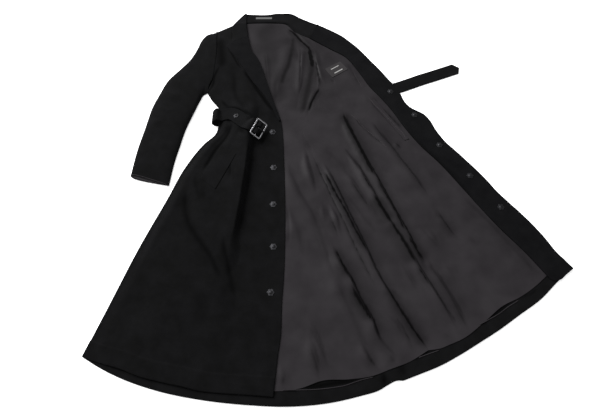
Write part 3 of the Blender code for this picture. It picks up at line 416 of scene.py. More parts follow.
# Shades: lines of painted shade where the cloth folds back under itself; places along each one, its half
# width, how dark it is painted, and how deep its trough is
FRONT_SHADES = (
    (((-356, 486), (-333, 449), (-307, 399), (-288, 371)), 2.8, 1.10, 0.6),
    (((-295, 382), (-263, 334), (-239, 291), (-221, 262), (-204, 234), (-188, 211), (-172, 190)), 5.5,
     1.30, 1.0),
    (((-208, 254), (-188, 221), (-175, 190), (-165, 155)), 14.0, 0.50, 0.0),
    (((-382, 538), (-369, 462), (-362, 407), (-369, 372)), 17.0, 1.00, 2.0),
    (((-362, 405), (-376, 374), (-384, 343), (-385, 317), (-393, 296), (-404, 279)), 4.5, 1.10, 1.0),
    (((-339, 582), (-337, 543), (-338, 509)), 2.8, 0.90, 0.4),
    (((-318, 380), (-315, 319), (-310, 281), (-301, 252), (-283, 220), (-269, 196)), 8.0, 0.50, 1.2),
    (((-358, 256), (-344, 236), (-330, 220), (-314, 212)), 5.0, 0.90, 1.0),
    (((-289, 214), (-272, 194), (-255, 179), (-236, 163)), 6.0, 0.90, 0.8),
    (((-351, 161), (-342, 169), (-330, 169), (-317, 157), (-307, 149)), 5.0, 1.00, 0.5),
    (((-311, 166), (-315, 135), (-323, 109), (-336, 87), (-353, 61), (-365, 36), (-373, 15), (-382, -10),
     (-389, -31)), 5.5, 1.10, 1.2),
    (((-320, 158), (-321, 128), (-329, 105)), 9.0, 0.70, 0.6),
    (((-297, 138), (-283, 125), (-273, 110), (-260, 95)), 7.0, 1.00, 0.8),
    (((-430, -72), (-429, -112), (-424, -153), (-412, -188), (-392, -221), (-370, -251), (-351, -275),
     (-333, -304), (-320, -329), (-301, -362)), 8.0, 0.75, 1.2),
    (((-357, -272), (-341, -295), (-325, -329)), 18.0, 0.30, 0.6),
    (((-309, -225), (-306, -264), (-298, -293), (-291, -318), (-284, -346), (-276, -379), (-264, -416)),
     7.0, 0.70, 1.2),
    (((-307, 11), (-304, -24), (-302, -58)), 2.4, 0.80, 0.3),
    (((-389, -68), (-378, -101), (-366, -133)), 10.0, 0.50, 1.0),
    (((-406, -20), (-405, -54), (-393, -94), (-380, -133)), 6.0, 0.40, 0.6),
)
LINING_SHADES = (
    (((-220, 471), (-212, 398), (-208, 358), (-203, 319)), 2.4, 0.70, 0.4),
    (((-163, 363), (-175, 328), (-174, 273), (-164, 227)), 10.0, 0.55, 1.5),
    (((-94, 481), (-98, 434), (-98, 380), (-101, 311)), 3.0, 0.80, 0.8),
    (((-153, 589), (-140, 571), (-124, 557), (-108, 535), (-93, 513), (-77, 494), (-65, 473), (-56, 440)),
     6.0, 1.20, 2.0),
    (((-70, 500), (-66, 465), (-61, 430), (-58, 400), (-56, 365)), 12.0, 1.15, 0.6),
    (((-58, 455), (-60, 380), (-72, 310), (-84, 240), (-97, 180)), 24.0, 0.85, 0.0),
    (((-52, 520), (-10, 450), (16, 385), (24, 320)), 40.0, 0.42, 0.0),
    (((-80, 316), (-70, 351), (-59, 386), (-55, 422)), 9.0, 0.70, 1.0),
    (((-56, 432), (-46, 390), (-39, 351), (-34, 312), (-38, 283)), 8.0, 0.80, 1.5),
    (((-233, 640), (-215, 500), (-190, 350), (-165, 200)), 62.0, 0.62, 0.0),
    (((-60, 540), (-35, 420), (-10, 310), (20, 220)), 40.0, 0.45, 0.0),
    (((-121, 564), (-127, 487), (-137, 413), (-153, 360), (-168, 296)), 13.0, 0.82, 1.0),
    (((-52, 444), (-42, 381), (-37, 337), (-32, 295)), 5.0, 0.90, 1.2),
    (((-30, 320), (-42, 286), (-54, 261), (-64, 236), (-77, 188)), 5.5, 1.20, 1.5),
    (((-69, 381), (-85, 312), (-95, 261), (-96, 180)), 12.0, 0.65, 1.5),
    (((-120, 529), (-113, 463), (-100, 417)), 7.0, 0.60, 1.0),
    (((-6, 355), (3, 337), (19, 312)), 6.0, 0.70, 1.0),
    (((-44, 472), (-31, 435), (-29, 399)), 5.0, 0.50, 0.8),
    (((53, 426), (71, 377), (89, 333), (106, 290)), 8.0, 0.55, 1.0),
    (((121, 261), (140, 253), (157, 232)), 4.0, 0.60, 0.6),
    (((157, 232), (174, 200), (191, 176), (208, 153), (219, 138), (233, 126)), 2.6, 0.90, 0.8),
    (((121, 257), (138, 228), (155, 204), (172, 180), (189, 157), (206, 134), (217, 118), (231, 77)), 1.9,
     0.80, 0.4),
    (((59, 192), (77, 172), (92, 149), (109, 130), (126, 107), (143, 88), (165, 59)), 1.9, 0.80, 0.4),
    (((359, -87), (403, -140), (434, -184), (462, -227), (490, -269), (518, -312), (557, -351)), 13.0,
     0.50, 1.5),
    (((455, -221), (473, -245), (495, -269)), 8.0, 0.50, 0.8),
    (((-140, -114), (-133, -163), (-130, -224), (-135, -269)), 5.0, 0.35, 0.6),
    (((-137, -134), (-122, -178), (-108, -215), (-97, -254), (-89, -292)), 13.0, 0.35, 1.0),
    (((-130, 22), (-117, -41), (-105, -75), (-88, -111), (-65, -153), (-49, -203), (-34, -254),
     (-19, -304), (-9, -338), (0, -371)), 9.0, 0.42, 1.2),
    (((-4, -354), (10, -389), (24, -421), (33, -447), (47, -485), (60, -515), (65, -544)), 12.0, 0.38, 1.2),
    (((59, -534), (70, -556), (84, -568), (100, -582)), 5.5, 0.90, 1.0),
    (((-84, 73), (-72, 15), (-64, -20), (-56, -54), (-50, -95)), 6.0, 0.50, 0.8),
    (((-93, 125), (-72, 73), (-57, 44)), 8.0, 0.40, 0.8),
    (((-36, -114), (-31, -153), (-28, -191)), 7.0, 0.45, 0.8),
    (((-17, -150), (-7, -184), (1, -209), (7, -239)), 5.0, 0.80, 1.0),
    (((-69, 62), (-51, 15), (-40, -17), (-18, -75), (3, -131), (24, -181), (44, -236), (63, -284),
     (84, -335), (107, -390)), 2.3, 0.85, 0.5),
    (((134, -434), (150, -460), (165, -488), (175, -513), (181, -544)), 2.6, 0.80, 0.5),
    (((116, -437), (134, -460), (148, -478)), 4.0, 0.35, 0.5),
    (((-34, 1), (-14, -48), (-1, -81), (13, -111), (34, -156), (54, -206), (76, -254), (92, -295)), 5.5,
     1.10, 1.2),
    (((85, -275), (99, -309), (116, -340), (131, -373)), 7.0, 0.60, 1.0),
    (((123, -354), (136, -384), (149, -413), (166, -447), (183, -478), (203, -508), (223, -542)), 5.5,
     1.15, 1.2),
    (((-14, -245), (-1, -269), (9, -292), (21, -326), (33, -349), (40, -365)), 5.0, 1.10, 1.2),
    (((33, -352), (42, -384), (56, -414), (70, -437), (81, -458), (90, -481)), 6.5, 1.30, 1.4),
    (((82, -450), (92, -485), (105, -510), (123, -532), (150, -563)), 8.0, 0.60, 1.0),
    (((35, -357), (50, -376), (70, -390)), 3.5, 0.60, 0.6),
    (((-63, 88), (-33, 62), (-3, 44), (23, 11), (40, -24), (53, -54)), 15.0, 0.38, 1.2),
    (((45, -34), (61, -68), (77, -98), (90, -118), (108, -147)), 3.2, 0.80, 0.8),
    (((-13, -6), (9, -54), (28, -88), (50, -118), (76, -159), (97, -191), (122, -221)), 9.0, 0.42, 1.0),
    (((29, 84), (46, 51), (63, 19), (79, -13), (87, -34)), 4.0, 0.75, 0.8),
    (((83, 1), (89, -34), (102, -65), (117, -98)), 3.5, 1.00, 0.8),
    (((107, -81), (125, -118), (139, -147), (154, -178), (165, -206)), 9.0, 1.25, 1.6),
    (((149, -163), (168, -206), (184, -239), (202, -281), (221, -324)), 8.0, 1.10, 1.4),
    (((208, -298), (223, -329), (238, -360), (253, -384)), 4.0, 1.00, 0.8),
    (((245, -370), (266, -408), (289, -447), (306, -488)), 2.8, 0.70, 0.6),
    (((35, 215), (42, 176), (56, 133), (73, 91), (94, 36), (112, -13), (127, -48)), 7.0, 1.25, 1.5),
    (((122, -34), (137, -71), (154, -111), (173, -156), (188, -200), (201, -233)), 5.5, 1.00, 1.2),
    (((192, -212), (208, -245), (224, -275), (235, -298), (241, -318)), 6.0, 1.20, 1.2),
    (((251, -283), (254, -318), (269, -348), (290, -387), (303, -424), (315, -458), (330, -490)), 6.5,
     0.62, 1.0),
    (((270, -360), (291, -400), (310, -442), (321, -473)), 13.0, 0.35, 0.8),
    (((121, 176), (138, 141), (154, 106), (173, 80), (192, 51), (210, 15), (228, -13), (244, -48),
     (261, -81), (278, -108)), 5.5, 0.75, 1.0),
    (((176, 73), (192, 80), (203, 69), (220, 55)), 5.0, 0.80, 0.8),
    (((275, -133), (292, -153), (301, -175), (316, -203), (333, -224), (351, -230)), 5.0, 0.75, 0.8),
    (((360, -212), (377, -239), (399, -260)), 10.0, 0.35, 0.8),
    (((225, -193), (248, -215), (262, -236), (290, -272)), 6.0, 0.42, 0.8),
    (((171, -295), (184, -329), (197, -357), (209, -384)), 4.0, 0.40, 0.6),
    (((289, -298), (301, -326), (314, -351)), 7.0, 0.25, 0.6),
    (((-89, -452), (-72, -485), (-57, -510), (-43, -539), (-24, -579)), 5.0, 0.50, 0.9),
    (((-84, -505), (-70, -539), (-60, -570), (-51, -609)), 7.0, 0.62, 1.0),
    (((250, -490), (271, -500), (300, -510)), 4.0, 0.40, 0.5),
    (((113, -541), (129, -556), (142, -568)), 7.0, 0.70, 0.8),
    (((-148, -591), (-140, -602), (-145, -623)), 5.0, 0.60, 0.8),
    (((-143, -591), (-126, -595), (-119, -614)), 5.0, 0.35, 0.8),
    (((137, 212), (79, 204), (42, 172)), 14.0, 0.25, 0.6),
)
# Painted shade on the wool of the back and left front, in the gaps below the lining's hem
BODY_SHADES = (
    (((-109, -622), (-76, -620), (-47, -616), (-15, -611), (21, -607), (60, -599)), 6.0, 1.20, 0.3),
    (((170, -560), (191, -551), (212, -541), (243, -533)), 5.0, 1.20, 0.3),
    (((363, -470), (386, -453), (410, -436), (439, -418), (467, -407)), 5.0, 1.20, 0.3),
    (((462, -410), (496, -394), (535, -372)), 3.0, 0.80, 0.2),
    (((103, -577), (103, -604), (103, -631)), 9.0, 1.00, 0.5),
    (((131, -563), (149, -581), (153, -604)), 14.0, 0.70, 0.3),
)
# Painted highlight: lighter satin cords along the pressed top edge of the turned-up hem, where it shows
HEM_HIGHLIGHTS = (
    ((-140, -627), (-100, -627), (-52, -625), (-16, -621), (8, -617), (33, -609), (50, -604), (77, -598)),
    ((193, -552), (216, -544), (244, -535)),
    ((357, -471), (385, -457), (413, -442), (437, -426), (467, -409)),
)
# Painted highlight: lighter satin cords along the cuff's pressed edges
CUFF_HIGHLIGHTS = (
    # first and last share of the ring, height over it, whether on the inner skin
    (0.03, 0.47, 0.1, 0),
    (0.97, 0.55, 0.9, 1),
)
STITCHED_LINES = (
    ((124, 255), (138, 230), (156, 206), (173, 182), (190, 158), (206, 135), (217, 120), (230, 90)),
    ((62, 190), (77, 174), (92, 151), (109, 131), (127, 109), (144, 90), (163, 64)),
    ((81, 361), (93, 330), (101, 305)),
)
# Painted shade along the facing's inner edge
FACING_SHADES = ((((230, 132), (267, 76), (320, 11), (368, -62), (405, -120)), 9.0, 0.60, 0.5),)
LAPEL_FOLDS = ((LAPEL_EDGE, 2.2, 16.0, 16.0),)
# Painted shade: a fold's side narrower than this gets it at its foot. Then how far folds and shades fade at
# their ends, and how much they narrow there
CREASE_BELOW = 9.5
FOLD_FADE = 70.0
SHADE_FADE = 40.0
END_TAPER = 0.5
# A halo of weaker painted shade round each crease: how dark, its reach beside a fold and its spread beside a
# shade, and how far the painted shade's edges waver
HALO = 0.64
HALO_REACH = 6.0
HALO_SPREAD = 4.2
HALO_WAVER = 1.3

# Studio
CAMERA_PLACE = (-0.0995, -0.7535, 1.2)
CAMERA_ELEVATION = 63.0
CAMERA_LENS = 28.2
LIGHTS = (
    # name, place, aim, size, power
    ("upper_left_softbox", (-5.2, 4.7, 5.7), (0.0, 0.0, 0.0), (6.0, 5.5), 1800.0),
    ("front_fill", (0.6, -2.4, 2.4), (0.0, 0.0, 0.0), (2.5, 1.5), 16.0),
)
ROOM_LIGHT = 0.42
FLOOR_GLOW = 0.5


# Smooth lines and patches

def line_through(knots, values):
    """A curve through values at knots: each stretch is a cubic whose end slopes follow its neighbours."""
    knots, values = np.asarray(knots, float), np.asarray(values, float)
    slopes = np.gradient(values, knots, axis=0)

    def at(place):
        s = np.clip(np.asarray(place, float), knots[0], knots[-1])
        i = np.clip(np.searchsorted(knots, s, side="right") - 1, 0, len(knots) - 2)
        span = knots[i + 1] - knots[i]
        t = (s - knots[i]) / span
        if values.ndim > 1:
            span, t = span[..., None], t[..., None]
        return (
            values[i] * (2 * t**3 - 3 * t**2 + 1)
            + values[i + 1] * (3 * t**2 - 2 * t**3)
            + slopes[i] * span * (t**3 - 2 * t**2 + t)
            + slopes[i + 1] * span * (t**3 - t**2)
        )

    return at


def run_of(points, axis=0):
    """Length run from the first point to each one, along an axis of a line or grid of points."""
    steps = np.linalg.norm(np.diff(points, axis=axis), axis=-1)
    return np.insert(np.cumsum(steps, axis=axis), 0, 0.0, axis=axis)


def smooth_line(places):
    """The same curve through places in the plan, from 0 at its start to 1 at its end along the chords."""
    p = np.asarray(places, float)
    run = run_of(p)
    return line_through(run / run[-1], p)


def along(places, count):
    """That many places along a smooth line, at even shares of its chords."""
    return smooth_line(places)(np.linspace(0, 1, count))


def patch(edges, columns, rows):
    """Plan between a foot, head, left and right edge: the ruled surfaces between opposite edges, less the one
    between the corners.
    """
    b, t, l, r = (smooth_line(e) for e in edges)
    u, v = (a[..., None] for a in np.meshgrid(columns, rows))
    corners = (1 - u) * (1 - v) * b(0.0) + u * (1 - v) * b(1.0) + (1 - u) * v * t(0.0) + u * v * t(1.0)
    return (
        (1 - v) * b(columns)[None] + v * t(columns)[None]
        + (1 - u) * l(rows)[:, None] + u * r(rows)[:, None] - corners
    )


def corner_plan(corners, columns, rows):
    """Plan between four corners, anticlockwise from the lower left: a bilinear blend of them."""
    a, b, c, d = np.array(corners, float)
    u, v = (s[..., None] for s in np.meshgrid(columns, rows))
    return a * (1 - u) * (1 - v) + b * u * (1 - v) + c * u * v + d * (1 - u) * v


def turned_rectangle(centre, size, degrees):
    """Corners of a rectangle turned about its centre, anticlockwise."""
    c, s = math.cos(math.radians(degrees)), math.sin(math.radians(degrees))
    half = np.array(size) / 2 * np.array(((-1, -1), (1, -1), (1, 1), (-1, 1)))
    return np.array(centre) + half @ np.array(((c, s), (-s, c)))


def shares(length, spacing=LINE_SPACING, edge=2.0):
    """Shares from 0 to 1 along a length, evenly spaced, and closer in the last few millimetres to an edge."""
    near = np.array(EDGE_LINES) * edge / length
    middle = np.linspace(near[-1], 1 - near[-1], max(3, round(length / spacing)))
    return np.concatenate([near[:-1], middle, 1 - near[-2::-1]])


def smooth_step(x):
    """From 0 to 1 as x goes from 0 to 1, level at both ends: three times its square less twice its cube."""
    x = np.clip(x, 0.0, 1.0)
    return x * x * (3 - 2 * x)


def bell(x):
    """One at nothing, and down to nothing on both sides: e to minus the square."""
    return np.exp(-(x**2))


def noise_field(places, size, seed):
    """Soft unevenness from -1 to 1: eight waves of about one size in seeded directions, added up."""
    chance = np.random.default_rng(seed)
    x, y = places[..., 0], places[..., 1]
    total = np.zeros_like(x)
    for angle, phase, share in chance.random((8, 3)):
        k = 2 * math.pi / (size * (0.7 + 0.6 * share))
        turn = angle * math.pi
        total += np.sin(k * (x * math.cos(turn) + y * math.sin(turn)) + phase * 2 * math.pi)
    return total / 4.0


# The map of what already lies on the floor

lying = np.zeros((MAP_SIDE, MAP_SIDE))


def read_map(field, places):
    """A map's value between its four nearest cells."""
    a, b = (np.clip((places[..., k] - MAP_LOW[k]) / CELL - 0.5, 0, MAP_SIDE - 1.001) for k in (0, 1))
    i, j = a.astype(int), b.astype(int)
    a, b = a - i, b - j
    return (
        field[i, j] * (1 - a) * (1 - b) + field[i + 1, j] * a * (1 - b)
        + field[i, j + 1] * (1 - a) * b + field[i + 1, j + 1] * a * b
    )


def blur(field, reach):
    """A map softened by a bell of that reach: its waves are damped by their length."""
    f = np.fft.fftfreq(MAP_SIDE)[:, None] ** 2 + np.fft.rfftfreq(MAP_SIDE)[None] ** 2
    damp = np.exp(-2 * (math.pi * reach / CELL) ** 2 * f)
    return np.fft.irfft2(np.fft.rfft2(field) * damp, field.shape)


def carried_over(reach, rounds=7):
    """How cloth comes to lie over the map: softened, lifted back over what it covers, again and again."""
    z = lying
    for _ in range(rounds):
        z = np.maximum(blur(z, reach), lying)
    return np.maximum(blur(z, CELL), lying)


def mark(grid, rise=0.0):
    """Notes a laid surface in the map, that much higher than it is, from points closer than a cell."""
    top = grid.copy()
    top[..., 2] += rise
    down, across = (math.ceil(np.linalg.norm(np.diff(top, axis=k), axis=2).max() / MARK_STEP) for k in (0, 1))
    for a in np.arange(down) / down:
        for b in np.arange(across) / across:
            p = (
                top[:-1, :-1] * (1 - a) * (1 - b) + top[:-1, 1:] * (1 - a) * b
                + top[1:, :-1] * a * (1 - b) + top[1:, 1:] * a * b
            )
            i, j = (np.clip(((p[..., k] - MAP_LOW[k]) / CELL).astype(int), 0, MAP_SIDE - 1) for k in (0, 1))
            np.maximum.at(lying, (i, j), p[..., 2])


# Folds

def nearest_on(line, x, y):
    """Distance from a line of chords, the side it is on (1 to the left of the run) and the share along it."""
    best = np.full(x.shape, 1e9)
    side, share = np.ones(x.shape), np.zeros(x.shape)
    for k, (a, b) in enumerate(zip(line, line[1:])):
        d = b - a
        t = np.clip(((x - a[0]) * d[0] + (y - a[1]) * d[1]) / (d @ d), 0.0, 1.0)
        ox, oy = x - a[0] - t * d[0], y - a[1] - t * d[1]
        away = np.hypot(ox, oy)
        nearer = away < best
        best = np.where(nearer, away, best)
        side = np.where(nearer, np.sign(d[0] * oy - d[1] * ox), side)
        share = np.where(nearer, (k + t) / (len(line) - 1), share)
    return best, side, share


def across_fold(fold, at, right, left, fade):
    """Distance from a fold's line, whether it is to the left, how full the fold is there, and how wide.

    A fold is full but for a length at each end, or for its half where it is short, and narrows with it.
    """
    away, side, share = nearest_on(along(fold, 8 * len(fold)), at[..., 0], at[..., 1])
    end = np.clip(fade / run_of(np.array(fold, float))[-1], 0.15, 0.5)
    full = smooth_step(share / end) * smooth_step((1 - share) / end)
    return away, side > 0, full, np.where(side > 0, left, right) * (1 - END_TAPER + END_TAPER * full)


def folds_at(at, folds, shades=(), halo=0.0):
    """Height of all folds, and the painted shade at each place: how dark its colour is painted in a crease.

    A fold is a bell across its line, with its own width on each side, lower and narrower towards its ends.
    On a narrow side its foot gets painted shade. A shade is a line where the cloth folds back under itself: a
    small trough, painted dark as if little light fell into it. A halo is weaker painted shade round a crease,
    and the edges of both waver a little.
    """
    waver = HALO_WAVER * noise_field(at, WAVER_LENGTH, 5) if halo else 0.0
    total, painted_shade = np.zeros(at.shape[:-1]), np.zeros(at.shape[:-1])
    for fold, height, right, left in folds:
        away, on_left, full, width = across_fold(fold, at, right, left, FOLD_FADE)
        total += height * full * bell(away / width)
        near = np.maximum(away + waver, 0.0)
        for narrow, this_side in ((left, on_left), (right, ~on_left)):
            if narrow < CREASE_BELOW:
                foot = bell((near - FOOT_AT * narrow) / (FOOT_WIDTH * narrow))
                foot = np.maximum(foot, halo * bell(near / (HALO_REACH * narrow)))
                foot = np.where(this_side, foot, 0.0)
                painted_shade = np.maximum(painted_shade, foot * full * abs(height) / FOOT_DARK_FROM)
    for fold, half_width, shade_amount, drop in shades:
        away, _, full, width = across_fold(fold, at, half_width, half_width, SHADE_FADE)
        total -= drop * full * bell(away / width)
        near = np.maximum(away + waver, 0.0)
        dark = np.maximum(bell(near / width), halo * bell(near / (HALO_SPREAD * width)))
        painted_shade = np.maximum(painted_shade, shade_amount * full * dark)
    return total, np.clip(painted_shade, 0, 1)


# Making pieces

def unit(vectors):
    """The same directions, each with a length of one."""
    return vectors / np.linalg.norm(vectors, axis=-1)[..., None]


def quads(index, down=False, across=False):
    """Faces between neighbours on a grid of point numbers, which may close on itself down or across."""
    for axis, closed in enumerate((down, across)):
        if closed:
            index = np.concatenate([index, index.take([0], axis)], axis)
    return np.stack([index[:-1, :-1], index[:-1, 1:], index[1:, 1:], index[1:, :-1]], -1).reshape(-1, 4)


def fan(centre, ring):
    """Faces from a centre point to a closed ring of point numbers, each over two of its sides."""
    first = np.arange(0, len(ring), 2)
    corners = [ring[(first + k) % len(ring)] for k in (0, 1, 2)]
    return np.stack([np.full(len(first), centre), *corners], -1)


def numbered(rows, columns):
    """Point numbers of a grid, row by row."""
    return np.arange(rows * columns).reshape(rows, columns)


def piece(name, points, faces, finish, uv=None, painted_shade=0.0, body="root", node=None):
    """A mesh object with its place in its mesh, smooth shaded, riding on its body in place of its solid.

    Its faces are turned over if the closed shell that they make has a volume below nothing.
    """
    material, slot = finish
    a, b, c, d = (points[faces[:, k]] for k in range(4))
    if (a * (np.cross(b, c) + np.cross(c, d))).sum() < 0:
        faces = faces[:, ::-1]
    faces = np.asarray(faces, np.int32)
    mesh = bpy.data.meshes.new(name)
    mesh.vertices.add(len(points))
    mesh.vertices.foreach_set("co", (points * MM).astype(np.float32).ravel())
    mesh.loops.add(faces.size)
    mesh.loops.foreach_set("vertex_index", faces.ravel())
    mesh.polygons.add(len(faces))
    mesh.polygons.foreach_set("loop_start", np.arange(0, faces.size, 4, dtype=np.int32))
    mesh.update(calc_edges=True)
    mesh.shade_smooth()
    if uv is not None:
        layer = mesh.uv_layers.new(name="cloth")
        layer.uv.foreach_set("vector", (uv[faces.ravel()] * MM).astype(np.float32).ravel())
    # Attribute of painted shade in creases, which the finishes mix into their colour
    shade_amount = mesh.attributes.new("painted_shade", "FLOAT", "POINT")
    shade_amount.data.foreach_set("value", np.broadcast_to(painted_shade, len(points)).astype(np.float32))
    mesh.materials.append(material)
    made = bpy.data.objects.new(name, mesh)
    bpy.context.scene.collection.objects.link(made)
    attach(made, body)
    if node:
        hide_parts(node)
    return made


def shell(name, middle, wall, finish, painted_shade=0.0, upright=True, **kept):
    """A closed sheet of cloth about its middle surface.

    Its two sides stand half a wall off the middle, upright or along its normals, and come together in a
    quarter circle towards each edge, where they share their points.
    """
    rows, columns = middle.shape[:2]
    across, down = run_of(middle, 1), run_of(middle)
    away = np.minimum(np.minimum(across, across[:, -1:] - across), np.minimum(down, down[-1:] - down))
    full = np.sqrt(1 - (1 - np.clip(away / (wall * 0.5), 0, 1)) ** 2)
    out = unit(np.cross(np.gradient(middle, axis=1), np.gradient(middle, axis=0)))
    if upright:
        out = np.array((0.0, 0.0, 1.0)) / np.clip(np.abs(out[..., 2:]), STEEPEST, 1.0)
    half = out * (wall / 2 * full)[..., None]

    def both_sides(over, under):
        return np.concatenate([g.reshape(-1, g.shape[-1]) for g in (over, under[1:-1, 1:-1])])

    high = numbered(rows, columns)
    low = high.copy()
    low[1:-1, 1:-1] = rows * columns + numbered(rows - 2, columns - 2)
    faces = np.concatenate([quads(high), quads(low)[:, ::-1]])
    uv = np.stack([across, down], -1)
    painted_shade = np.broadcast_to(painted_shade, (rows, columns))[..., None]
    return piece(name, both_sides(middle + half, middle - half), faces, finish, both_sides(uv, uv),
                 both_sides(painted_shade, painted_shade)[:, 0], **kept)


def lay(below, name, plan, wall, finish, base=None, folds=(),
        shades=(), halo=0.0, uneven=0.0, lift=AIR):
    """Lays a cut piece over a map of what lies below, or holds it up at base, folds it and marks it."""
    floor = read_map(below, plan) + lift
    rise, painted_shade = folds_at(plan, folds, shades, halo)
    if uneven:
        rise = rise + uneven * (1 + noise_field(plan, UNEVEN_LENGTH, 11))
    under = floor + np.maximum(rise, 0.0) if base is None else np.maximum(base + rise, floor)
    middle = np.dstack([plan, np.maximum(under, AIR / 2) + wall / 2])
    made = shell(name + "_cloth", middle, wall, finish, painted_shade, node=name)
    mark(middle, wall / 2)


def tube_shell(name, skins, finish, painted_shade=0.0, **kept):
    """An open tube of cloth: an outer and an inner skin of rings, joined by a rim of faces at each end."""
    outer = skins[0]
    rings, around = outer.shape[:2]
    index = numbered(rings, around)
    sides = quads(index, across=True)
    first, last = (quads(np.stack([index[end], index[end] + index.size]), across=True) for end in (0, -1))
    faces = np.concatenate([sides, sides[:, ::-1] + index.size, first[:, ::-1], last])
    girth = np.linalg.norm(np.diff(outer, axis=1, append=outer[:, :1]), axis=2).mean(axis=0)
    uv = np.stack([np.broadcast_to(np.cumsum(girth), (rings, around)), run_of(outer)], -1).reshape(-1, 2)
    points = np.concatenate([skin.reshape(-1, 3) for skin in skins])
    painted_shade = np.tile(np.broadcast_to(painted_shade, (rings, around)).ravel(), 2)
    return piece(name, points, faces, finish, np.tile(uv, (2, 1)), painted_shade, **kept)


def round_about(count):
    """Angles at even steps round a circle."""
    return np.linspace(0, 2 * math.pi, count, endpoint=False)


def square_to(path):
    """Direction of the run at each point of a path, and the two directions square to it."""
    run = unit(np.gradient(path, axis=0))
    up = np.tile((0.0, 0.0, 1.0), (len(path), 1))
    up[np.abs(run[:, 2]) > 0.9] = (1.0, 0.0, 0.0)
    side = unit(np.cross(run, up))
    return run, side, np.cross(side, run)


def wire(name, path, radius, finish, sides=10, **kept):
    """A round wire, capped at both ends.

    Its rings are the path's points plus radius times the cosine and the sine of an angle along the two
    directions square to the run.
    """
    path = np.asarray(path, float)
    _, side, up = square_to(path)
    angles = round_about(sides)[:, None]
    rings = path[:, None] + np.broadcast_to(radius, len(path))[:, None, None] * (
        np.cos(angles) * side[:, None] + np.sin(angles) * up[:, None]
    )
    index = numbered(len(path), sides)
    caps = fan(index.size, index[0])[:, ::-1], fan(index.size + 1, index[-1])
    faces = np.concatenate([quads(index, across=True), *caps])
    return piece(name, np.concatenate([rings.reshape(-1, 3), path[[0, -1]]]), faces, finish, **kept)



# Wool and lining of the body

def hem_wall(rows):
    """Wall of a shell, row by row: doubled in the turned-up hem, with a soft step at its top."""
    share = smooth_step((HEM_SHARE + HEM_STEP_TOP - rows) / HEM_STEP)
    return (WOOL + (WOOL_TURNED_UP - WOOL) * share)[:, None]


def hem_rows(length):
    """Shares along a piece, closer at the top of the turned-up hem."""
    return np.sort(np.concatenate([shares(length), HEM_SHARE + np.array(HEM_STEP_ROWS)]))


def drawn_in(plan, side, gap=AIR):
    """A plan with one edge drawn back by the gap of a seam, or carried on by its allowance."""
    edge, nearer = (0, 6) if side == "left" else (-1, -7)
    way = unit(plan[:, nearer] - plan[:, edge])
    plan = plan.copy()
    plan[:, edge] += way * gap
    return plan


def make_body():
    """Back and left front, outer side down on the floor, meeting at one height on the side seam."""
    below = carried_over(14)
    for name, edges, columns, rows, seam, flat, area, rests_on in (
        ("back", (BACK_HEM, BACK_TOP, BACK_SIDE, SIDE_SEAM), shares(790, 6.0), hem_rows(1230), "right",
         (0.80, 1.25), 0.62, ["belt"]),
        ("left_front", (LEFT_HEM, LEFT_TOP, SIDE_SEAM, LEFT_EDGE), shares(560), hem_rows(1270), "left",
         (0.57, 1.30), 0.52, ["left_sleeve", "left_lapel"]),
    ):
        plan = drawn_in(patch(edges, columns, rows), seam, -SEAM_OVERLAP)
        lay(below, name, plan, hem_wall(rows), WOOL_FINISH, shades=BODY_SHADES,
            uneven=0.25)


def make_linings():
    """Back lining and left front lining, inner side up, meeting as the wool below them does."""
    below = carried_over(9)
    edges = BACK_LINING_HEM, BACK_LINING_TOP, BACK_LINING_SIDE, LINING_SEAM
    back = drawn_in(patch(edges, shares(820, 3.2), shares(1190, 8.0)), "right", -SEAM_OVERLAP)
    edges = LEFT_LINING_HEM, LEFT_LINING_TOP, LINING_SEAM, FACING_SEAM
    left = drawn_in(patch(edges, shares(400, 2.3), shares(1190, 6.5)), "left", -SEAM_OVERLAP)
    for name, plan, flat, area, rests_on in (
        ("back_lining", back, (0.84, 1.22), 0.60, ["back"]),
        ("left_front_lining", drawn_in(left, "right"), (0.44, 1.25), 0.40, ["left_front"]),
    ):
        lay(below, name, plan, LINING, LINING_FINISH, halo=HALO, uneven=0.35,
            folds=BACK_LINING_FOLDS + LEFT_LINING_FOLDS, shades=LINING_SHADES)


def make_facing():
    """The wool facing of the opened front, over the collar's end."""
    gorge = np.array(GORGE_LEFT) + (-3.0, 1.5)
    seam, edge = np.vstack([FACING_SEAM[:-1], gorge[:1]]), np.vstack([LEFT_EDGE[:-1], gorge[-1:]])
    plan = drawn_in(patch((FACING_FOOT, gorge, seam, edge), shares(72, 4.0), shares(1150)), "left")
    lay(carried_over(12), "left_facing", plan, WOOL, FACING_FINISH,
        shades=FACING_SHADES, uneven=0.2)


def front_height(y, across):
    """Underside of the right front: smooth steps between the stations of the section at y.

    The last step, down from the crest, is steeper where the cloth is held up most.
    """
    table = np.array(FRONT_SECTIONS)
    edge, *section = np.moveaxis(line_through(table[:, 0], table[:, 1:])(y), -1, 0)
    stations, heights = (0.0 * y, *section[::2]), (edge, *section[1::2])
    z = edge.copy()
    for k in range(4):
        share = (across - stations[k]) / (stations[k + 1] - stations[k])
        if k == 3:
            share = share / (1 - STEEPER * smooth_step((y - STEEPER_FROM) / STEEPER_STRETCH))
        z += (heights[k + 1] - heights[k]) * smooth_step(share)
    return z


def beside_belt(away):
    """Places along the belt's upper edge on the front, that far outside it."""
    line = along(BELT_ABOVE, 9)
    across = level_across(line)
    return line + across * np.sign(across[:, 1:]) * (BELT_WIDTH / 2 + away)


def make_right_front():
    """The closed right front, held up by what it carries inside, with its ridge below the buckle.

    Above the belt, which draws it in, the cloth bulges over the belt's edge, with painted shade along it.
    """
    columns, rows = shares(480, 3.2), hem_rows(1230)
    plan = patch((FRONT_HEM, FRONT_TOP, FRONT_SIDE, FRONT_EDGE), columns, rows)
    lay(carried_over(12), "right_front", plan, hem_wall(rows), WOOL_FINISH,
        base=front_height(plan[..., 1], columns), uneven=0.2,
        folds=FRONT_FOLDS + ((beside_belt(9.0), 3.0, 6.5, 18.0),),
        shades=FRONT_SHADES + ((beside_belt(2.0), 4.5, 1.2, 1.0),))


